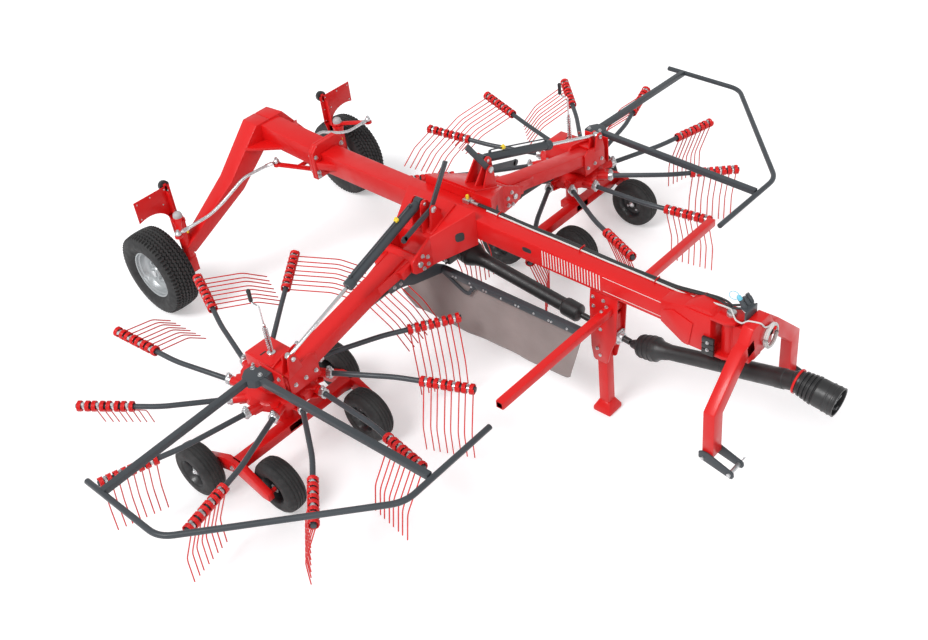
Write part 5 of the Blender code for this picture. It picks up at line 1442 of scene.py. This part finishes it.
def standParts():
    v, b = standValues, barValues
    x, pz, inner = v['x'], v['pivotZ'], v['side'] / 2 + v['gap']
    low = beamLow(x)
    x0, x1 = x - 0.06, x + 0.16
    outline = [(x0, beamLow(x0) - seat), (x1, beamLow(x1) - seat), (x + 0.13, pz + 0.17), (x + 0.085, pz + 0.06),
               (x + 0.075, pz + 0.02), (x + 0.060, pz - 0.045), (x + 0.045, pz - 0.06), (x - 0.045, pz - 0.06),
               (x - 0.060, pz - 0.045), (x - 0.075, pz + 0.05), (x - 0.075, low - 0.15)]
    form = Form('standBracket', 0.002)
    for s in (-1, 1):
        form.slab('y', outline, s * inner, s * (inner + v['plate']))
    form.slab('y', [(x0 + 0.01, low - 0.025), (x1 - 0.01, low - 0.025), (x1 - 0.01, beamLow(x1) - 0.002),
                    (x0 + 0.01, beamLow(x1) - 0.002)], -inner - 0.001, inner + 0.001)
    form.block(x + 0.105, x + 0.12, -inner - 0.001, inner + 0.001, pz + 0.13, low - 0.19)
    form.done(redPaint, 'frame', ('stand_bracket',))
    pin = Form('standPin', 0.002)
    pin.tube([(x, -inner - 0.02, pz), (x, inner + 0.02, pz)], 0.012, 18)
    pin.done(zinc, 'frame')
    for s in (-1, 1):
        for bx, bz in v['plateBolts']:
            bolt('frame', (bx, s * (inner + v['plate']), bz), (0, s, 0), 0.95)
    leg = Form('parkingStand', 0.009)
    half = v['side'] / 2
    leg.block(x - half, x + half, -half, half, 0.03, pz + 0.05)
    leg.bar([(x, 0, 0), (x, 0, 0.035), (x, 0, 0.10)], 0.15, 0.15, up=xAxis, scales=(1, 0.98, 0.54), edge=0.012)
    leg.done(redPaint, 'stand', ('parking_stand',))
    guard = Form('frontGuardBar', 0.010)
    h = b['side'] / 2
    guard.block(b['x'] - h, b['x'] + h, -b['half'], b['half'], b['z'] - h, b['z'] + h)
    for s in (-1, 1):
        guard.block(b['x'] - h + 0.004, b['x'] + h - 0.004, s * (b['half'] - 0.001), s * b['half'],
                    b['z'] - h + 0.004, b['z'] + h - 0.004, 0)
    guard.done(redPaint, 'frame', ('front_guard_bar',))
    for s in (-1, 1):
        for y in (0.075, 0.13):
            bolt('frame', (b['x'] - 0.01, s * y, b['z'] + h), zAxis, 0.9)
    joint, back = shaftLine()[1:]
    plateX = x + 0.12 + seat
    z = joint.z - (joint.x - plateX) * back.z / back.x
    hub = Form('shaftBearing', 0.004)
    edge = inner - seat
    hub.slab('x', [(-edge, z - 0.034), (-0.030, z - 0.050), (0.030, z - 0.050), (edge, z - 0.034), (edge, z + 0.034),
                   (0.030, z + 0.050), (-0.030, z + 0.050), (-edge, z + 0.034)], plateX, plateX + 0.014)
    hub.turned(v['bearingProfile'], (plateX, 0, z), back, 36)
    hub.done(zinc, 'frame', ('shaft_bearing',))
    for y, off in v['bearingBolts']:
        bolt('frame', (plateX + 0.014, y, z + off), xAxis, 0.85)


curtainValues = {'y': -0.220, 'barZ': 0.848, 'frontX': 1.54, 'fold': 0.006,
                 'screws': ((0.383, 0.847), (0.413, 0.847), (0.543, 0.850), (0.554, 0.822), (0.671, 0.842),
                            (0.697, 0.842), (0.833, 0.841), (0.963, 0.841), (0.990, 0.840), (1.123, 0.839),
                            (1.253, 0.837), (1.275, 0.836), (1.408, 0.835)),
                 'lowEdge': [(-0.095, 0.338), (1.34, 0.357), (1.365, 0.362), (1.386, 0.378), (1.392, 0.41)]}


def curtainParts():
    v, a = curtainValues, armValues
    face = a['x'] + a['width'] / 2 + seat
    form = Form('curtainBar', 0.004)
    form.bar([(face, v['y'], v['barZ']), (v['frontX'], v['y'], v['barZ'] - 0.012)], 0.05, 0.05)
    bracket = [(-0.725, 1.080), (-0.756, 0.990), (-0.737, 0.950), (-0.661, 0.947), (-0.593, 0.929), (-0.515, 0.892),
               (-0.420, 0.870), (v['y'] - 0.02, v['barZ'] - 0.024), (v['y'] + 0.024, v['barZ'] - 0.024),
               (v['y'] + 0.024, v['barZ'] + 0.024), (-0.309, 0.955), (-0.40, 0.985), (-0.510, 0.993), (-0.572, 1.018),
               (-0.664, 1.020), (-0.697, 1.080)]
    form.slab('x', bracket, face, face + 0.010, 0.003)
    # cranked brace below the bar
    yb = v['y'] - 0.020
    form.bar(bent([(face + 0.03, yb, 0.842), (0.470, yb, 0.742), (0.520, yb, 0.742), (0.560, yb, 0.812),
                   (0.585, yb, 0.826)], 0.03, 3), 0.012, 0.026, edge=0)
    form.done(greyPaint, 'arm_right', ('curtain_bar',))
    for x, z in v['screws']:
        bolt('arm_right', (x, v['y'] - 0.025, z), (0, -1, 0), 0.62)
    bolt('arm_right', (face + 0.010, -0.700, 0.985), xAxis, 1.0)
    bolt('arm_right', (face + 0.010, -0.640, 0.980), xAxis, 1.0)
    # the sheet: a grid over the cut outline, hanging in shallow folds from the bar
    rear, drop = face + 0.005, 0.012 / (v['frontX'] - face)
    under = v['barZ'] - 0.0252 - seat
    left = [(rear - 0.002, under), (0.20, 0.79), (-0.225, 0.455), (-0.095, 0.338)]
    low = v['lowEdge']
    columns, rowsUp = 96, 26
    bm = bmesh.new()
    grid = []

    def along(line, t):
        lengths = [(Vector(q) - Vector(p)).length for p, q in zip(line, line[1:])]
        reach = t * sum(lengths)
        for (p, q), length in zip(zip(line, line[1:]), lengths):
            if reach <= length + tiny:
                return Vector(p).lerp(Vector(q), reach / length)
            reach -= length
        return Vector(line[-1])
    top = [(rear, under), (v['frontX'] - 0.02, under - drop * (v['frontX'] - 0.02 - rear))]
    right = [(v['frontX'] - 0.02, under - drop * (v['frontX'] - 0.02 - rear)), (1.392, 0.41)]
    for j in range(rowsUp + 1):
        q = j / rowsUp
        a0, b0 = along(left, q), along(right, q)
        line = []
        for i in range(columns + 1):
            p = i / columns
            straight = along(top, p) * (1 - q) + along(low, p) * q
            ends = a0 * (1 - p) + b0 * p
            topCorners = Vector(top[0]) * (1 - p) + Vector(top[1]) * p
            lowCorners = Vector(low[0]) * (1 - p) + Vector(low[-1]) * p
            corners = topCorners * (1 - q) + lowCorners * q
            x, z = straight + ends - corners
            ripple = v['fold'] * q ** 1.3 * (sin(x * 9.0 + 1.1) + 0.5 * sin(x * 21.0 + z * 5.0))
            line.append((x, v['y'] + ripple, z))
        grid.append(line)
    verts = [[bm.verts.new(p) for p in line] for line in grid]
    for j in range(rowsUp):
        for i in range(columns):
            bm.faces.new((verts[j][i], verts[j][i + 1], verts[j + 1][i + 1], verts[j + 1][i]))
    bmesh.ops.recalc_face_normals(bm, faces=bm.faces)
    mesh = bpy.data.meshes.new('curtainSheet')
    bm.transform(Matrix.Translation((shiftX, 0, 0)))
    bm.to_mesh(mesh)
    bm.free()
    mesh.materials.append(cloth)
    mesh.shade_smooth()
    sheet = placed('curtainSheet', mesh)
    solid = sheet.modifiers.new('thickness', 'SOLIDIFY')
    solid.thickness, solid.offset = 0.003, 0.0
    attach(sheet, 'arm_right')
    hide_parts('curtain')


headstockValues = {'x': 2.655, 'tubeR': 0.055, 'thick': 0.078, 'topY': 0.13, 'kneeY': 0.445, 'kneeZ': 0.909,
                   'foot': 0.583, 'topZ': 1.227, 'reach': 0.165, 'wide': 0.100, 'clevis': 0.012,
                   'clevisPlate': [(-0.055, 0.022), (-0.055, -0.022), (-0.030, -0.036), (0.165, -0.082),
                                   (0.181, -0.078), (0.190, -0.060), (0.187, -0.034), (0.173, -0.024), (0.010, 0.036),
                                   (-0.030, 0.036)]}


def headstock():
    v, b = headstockValues, beamValues
    forkLow, forkTop = beamLow(b['frontX']) - b['forkDrop'], beamTop(b['frontX']) + b['forkRise']
    low, top, midX, thick, foot = forkLow + 0.02, forkTop - 0.02, v['x'], v['thick'], v['foot']
    form = Form('headstockYoke', 0.007)
    form.turned(sleeve(b['pinR'] + pinPlay, v['tubeR'], low + 0.001, top - 0.001), (b['pivotX'], 0, 0), zAxis, 40)
    form.block(b['pivotX'] + 0.035, midX + 0.02, -0.045, 0.045, low + 0.03, top - 0.01)
    head = [(-v['topY'], v['topZ'] - 0.15), (v['topY'], v['topZ'] - 0.15), (v['topY'] + 0.03, v['topZ'] - 0.02),
            (0.09, v['topZ'] + 0.09), (-0.09, v['topZ'] + 0.09), (-v['topY'] - 0.03, v['topZ'] - 0.02)]
    form.slab('x', head, midX - thick / 2, midX + thick / 2)
    for s in (-1, 1):
        path = [(midX, s * 0.07, v['topZ'] - 0.035), (midX, s * (v['topY'] + 0.05), v['topZ'] - 0.06),
                (midX, s * v['kneeY'], v['kneeZ']), (midX, s * v['kneeY'], foot)]
        form.bar(path, v['wide'], thick, up=xAxis)
    form.done(redPaint, 'headstock', ('headstock_yoke',))
    for side, s in sides:
        y = s * v['kneeY']
        rear, front = midX - 0.02, midX + v['reach']
        hook = Form('hitchClevis_' + side, 0.002)
        off0 = v['wide'] / 2 + seat + v['clevis'] / 2
        for off in (-off0, off0):
            hook.slab('y', [(midX + a, foot + b) for a, b in v['clevisPlate']], y + off - v['clevis'] / 2,
                      y + off + v['clevis'] / 2)
        hook.done(greyPaint, 'headstock', ('hitch_clevis_' + side,))
        pins = Form('hitchPins_' + side, 0.002)
        for px, pz, r in ((front - 0.005, foot - 0.052, 0.014), (rear - 0.005, foot - 0.018, 0.012)):
            pins.tube([(px, y - off0 - 0.016, pz), (px, y + off0 + 0.016, pz)], r, 20)
        pins.done(zinc, 'headstock')
        keys = Form('pinHandles_' + side, 0)
        px, pz = front - 0.005, foot - 0.052
        keys.wire(bent([(px, y - s * (off0 + 0.012), pz), (px, y - s * (off0 + 0.030), pz + 0.002),
                        (px + 0.02, y - s * (off0 + 0.036), pz + 0.035),
                        (px + 0.02, y - s * (off0 + 0.010), pz + 0.050)], 0.012, 3), 0.0035, 8)
        keys.done(zinc, 'headstock')


fittingValues = {'hoseY': (-0.004, 0.034, 0.070), 'lean': (-0.55, 0, 0.83), 'ropeR': 0.0055, 'coilTurns': 5,
                 'coilSteps': 28, 'coilR': 0.066, 'coilY': 0.085, 'coilZ': 1.165, 'strapY': -0.205,
                 'couplingProfile': [(0, -0.02), (0.014, -0.02), (0.017, -0.012), (0.017, 0.022), (0.013, 0.028),
                                     (0.013, 0.046), (0, 0.046)],
                 'capProfile': [(0, 0), (0.014, 0), (0.0155, 0.004), (0.014, 0.024), (0.008, 0.032), (0, 0.033)]}


# what hangs on the headstock: hose couplings, the coiled pull rope and a hook strap
def headstockFittings():
    v, f = headstockValues, fittingValues
    midX, thick = v['x'], v['thick']
    topZ = v['topZ'] + 0.09
    hood = beamTop(beamValues['frontX']) + beamValues['hoodRise']
    holder = Form('hoseHolder', 0.002)
    holder.block(midX - 0.05, midX - 0.038, -0.05, 0.075, topZ - 0.035, topZ + 0.055)
    holder.bar([(midX - 0.05, 0.02, topZ + 0.045), (midX - 0.095, 0.02, topZ + 0.062)], 0.10, 0.008)
    for y in f['hoseY']:
        holder.turned(f['couplingProfile'], (midX - 0.083, y, topZ + 0.062), f['lean'], 16)
    holder.done(greyPaint, 'headstock')
    cap = Form('couplingCap', 0.001)
    cap.turned(f['capProfile'], (midX - 0.108, -0.004, topZ + 0.100), f['lean'], 18)
    loop = [(midX - 0.118 - 0.036 * (1 - cos(t)) * 0.9, -0.006 - 0.012 * sin(t), topZ + 0.118 - 0.020 * sin(t))
            for t in [2 * pi * k / 16 for k in range(17)]]
    cap.wire(loop[:-1], 0.0022, 6)
    cap.done(bluePlastic, 'headstock')
    lines = Form('headstockHoses', 0)
    for k in range(2):
        lines.wire(bent([(2.49, 0, hood + 0.026 + 0.018 * k), (2.53, 0.006 + 0.016 * k, hood + 0.032 + 0.018 * k),
                         (midX - 0.065, 0.034 + 0.036 * k, topZ + 0.028)], 0.03, 3), hoseValues['hoseR'], 12)
    lines.done(hoseRubber, 'headstock', smooth=60)
    # coil of rope on the head's front face
    rope = Form('ropeCoil', 0)
    turns, steps = [], f['coilSteps']
    for k in range(f['coilTurns'] * steps + 1):
        t = 2 * pi * k / steps
        r = f['coilR'] + 0.004 * sin(t * 0.37) + 0.006 * (k % (2 * steps)) / (2 * steps)
        turns.append((midX + thick / 2 + 0.009 + 0.0085 * (k / steps) / 2, f['coilY'] + r * sin(t),
                      f['coilZ'] + r * 1.12 * cos(t)))
    rope.wire(turns, f['ropeR'], 8)
    rope.wire(bent([(2.49, -0.006, hood + 0.018), (2.55, -0.055, topZ - 0.02), (midX - 0.055, -0.06, topZ - 0.02),
                    (midX - 0.03, -0.05, topZ + 0.009), (midX + thick / 2 + 0.006, -0.02, topZ + 0.002),
                    (midX + thick / 2 + 0.010, 0.02, topZ - 0.055), (midX + thick / 2 + 0.012, 0.07, 1.242)], 0.02,
                   3), f['ropeR'], 8)
    rope.done(whiteRope, 'headstock', smooth=60)
    peg = Form('ropePeg', 0.002)
    peg.bar([(midX + thick / 2 - 0.004, 0.085, 1.222), (midX + thick / 2 + 0.042, 0.085, 1.226),
             (midX + thick / 2 + 0.046, 0.085, 1.246)], 0.014, 0.008, up=(0, 1, 0))
    peg.done(redPaint, 'headstock')
    strap = Form('hookStrap', 0.002)
    y = f['strapY']
    strap.slab('x', [(y - 0.020, 0.985), (y - 0.024, 0.972), (y - 0.022, 0.955), (y - 0.008, 0.940),
                     (y - 0.004, 0.905), (y - 0.014, 0.890),
                     (y + 0.002, 0.880), (y + 0.018, 0.890), (y + 0.010, 0.905), (y + 0.008, 0.940),
                     (y + 0.022, 0.955), (y + 0.024, 0.972),
                     (y + 0.020, 0.985)], midX - thick / 2 - 0.006, midX - thick / 2 - 0.001)
    strap.done(greyPaint, 'headstock')
    bolt('headstock', (midX - thick / 2 - 0.006, y, 0.962), (-1, 0, 0), 1.0)


for side, s in sides:
    guardFrame(side, s)
    rotorChassis(side, s)
    crossShaft(side, s)
gearbox()
frontShaft()
rearShaft()
standParts()
curtainParts()
headstock()
headstockFittings()
boltPieces()
print('front, drive line and curtain made')

cameraValues = {'x': 5.3088, 'y': -4.8581, 'z': 5.7532, 'tilt': 51.528, 'lean': 6.068, 'turn': 41.773, 'lens': 45.40}
lightValues = {'world': 0.62, 'key': 1.9, 'keyAngle': 24, 'fill': 0.5, 'floor': (0.80, 0.80, 0.81, 1),
               'floorGlow': 0.32}


def studio():
    lens = bpy.data.cameras.new('photo camera')
    lens.lens = cameraValues['lens']
    lens.sensor_width = 36
    lens.sensor_fit = 'HORIZONTAL'
    lens.clip_end = 200
    camera = placed('photo camera', lens)
    camera.location = (cameraValues['x'] + shiftX, cameraValues['y'], cameraValues['z'])
    camera.rotation_euler = [radians(cameraValues[key]) for key in ('tilt', 'lean', 'turn')]
    bpy.context.scene.camera = camera

    mesh = bpy.data.meshes.new('floor')
    size = 60
    mesh.from_pydata([(-size, -size, 0), (size, -size, 0), (size, size, 0), (-size, size, 0)], [], [(0, 1, 2, 3)])
    floor = placed('floor', mesh)
    look = bpy.data.materials.new('pale floor')
    look.use_nodes = True
    tree = look.node_tree
    tree.nodes.clear()
    path = addNode(tree, 'ShaderNodeLightPath')
    seen = addNode(tree, 'ShaderNodeMath', {0: path.outputs['Is Camera Ray'], 1: path.outputs['Is Glossy Ray']},
                   operation='MAXIMUM')
    lift = addNode(tree, 'ShaderNodeMath', {0: seen.outputs[0], 1: lightValues['floorGlow']}, operation='MULTIPLY')
    matt = addNode(tree, 'ShaderNodeBsdfDiffuse', {'Color': lightValues['floor']})
    glow = addNode(tree, 'ShaderNodeEmission', {'Strength': lift.outputs[0]})
    both = addNode(tree, 'ShaderNodeAddShader', {0: matt.outputs[0], 1: glow.outputs[0]})
    addNode(tree, 'ShaderNodeOutputMaterial', {'Surface': both.outputs[0]})
    mesh.materials.append(look)

    world = bpy.data.worlds.new('studio air')
    bpy.context.scene.world = world
    world.use_nodes = True
    tree = world.node_tree
    back = tree.nodes['Background']
    back.inputs['Color'].default_value = (1, 1, 1, 1)
    path = addNode(tree, 'ShaderNodeLightPath')
    mix = addNode(tree, 'ShaderNodeMapRange', {'Value': path.outputs['Is Camera Ray'],
                                               'To Min': lightValues['world'], 'To Max': 1.0})
    tree.links.new(mix.outputs['Result'], back.inputs['Strength'])

    for name, strength, turn in (('key light', lightValues['key'], (38, 12, -20)),
                                 ('fill light', lightValues['fill'], (55, 0, 70))):
        lamp = bpy.data.lights.new(name, 'SUN')
        lamp.energy = strength
        lamp.angle = radians(lightValues['keyAngle'])
        placed(name, lamp).rotation_euler = [radians(v) for v in turn]


studio()
bpy.context.scene.view_settings.view_transform = 'Standard'
print('studio ready')
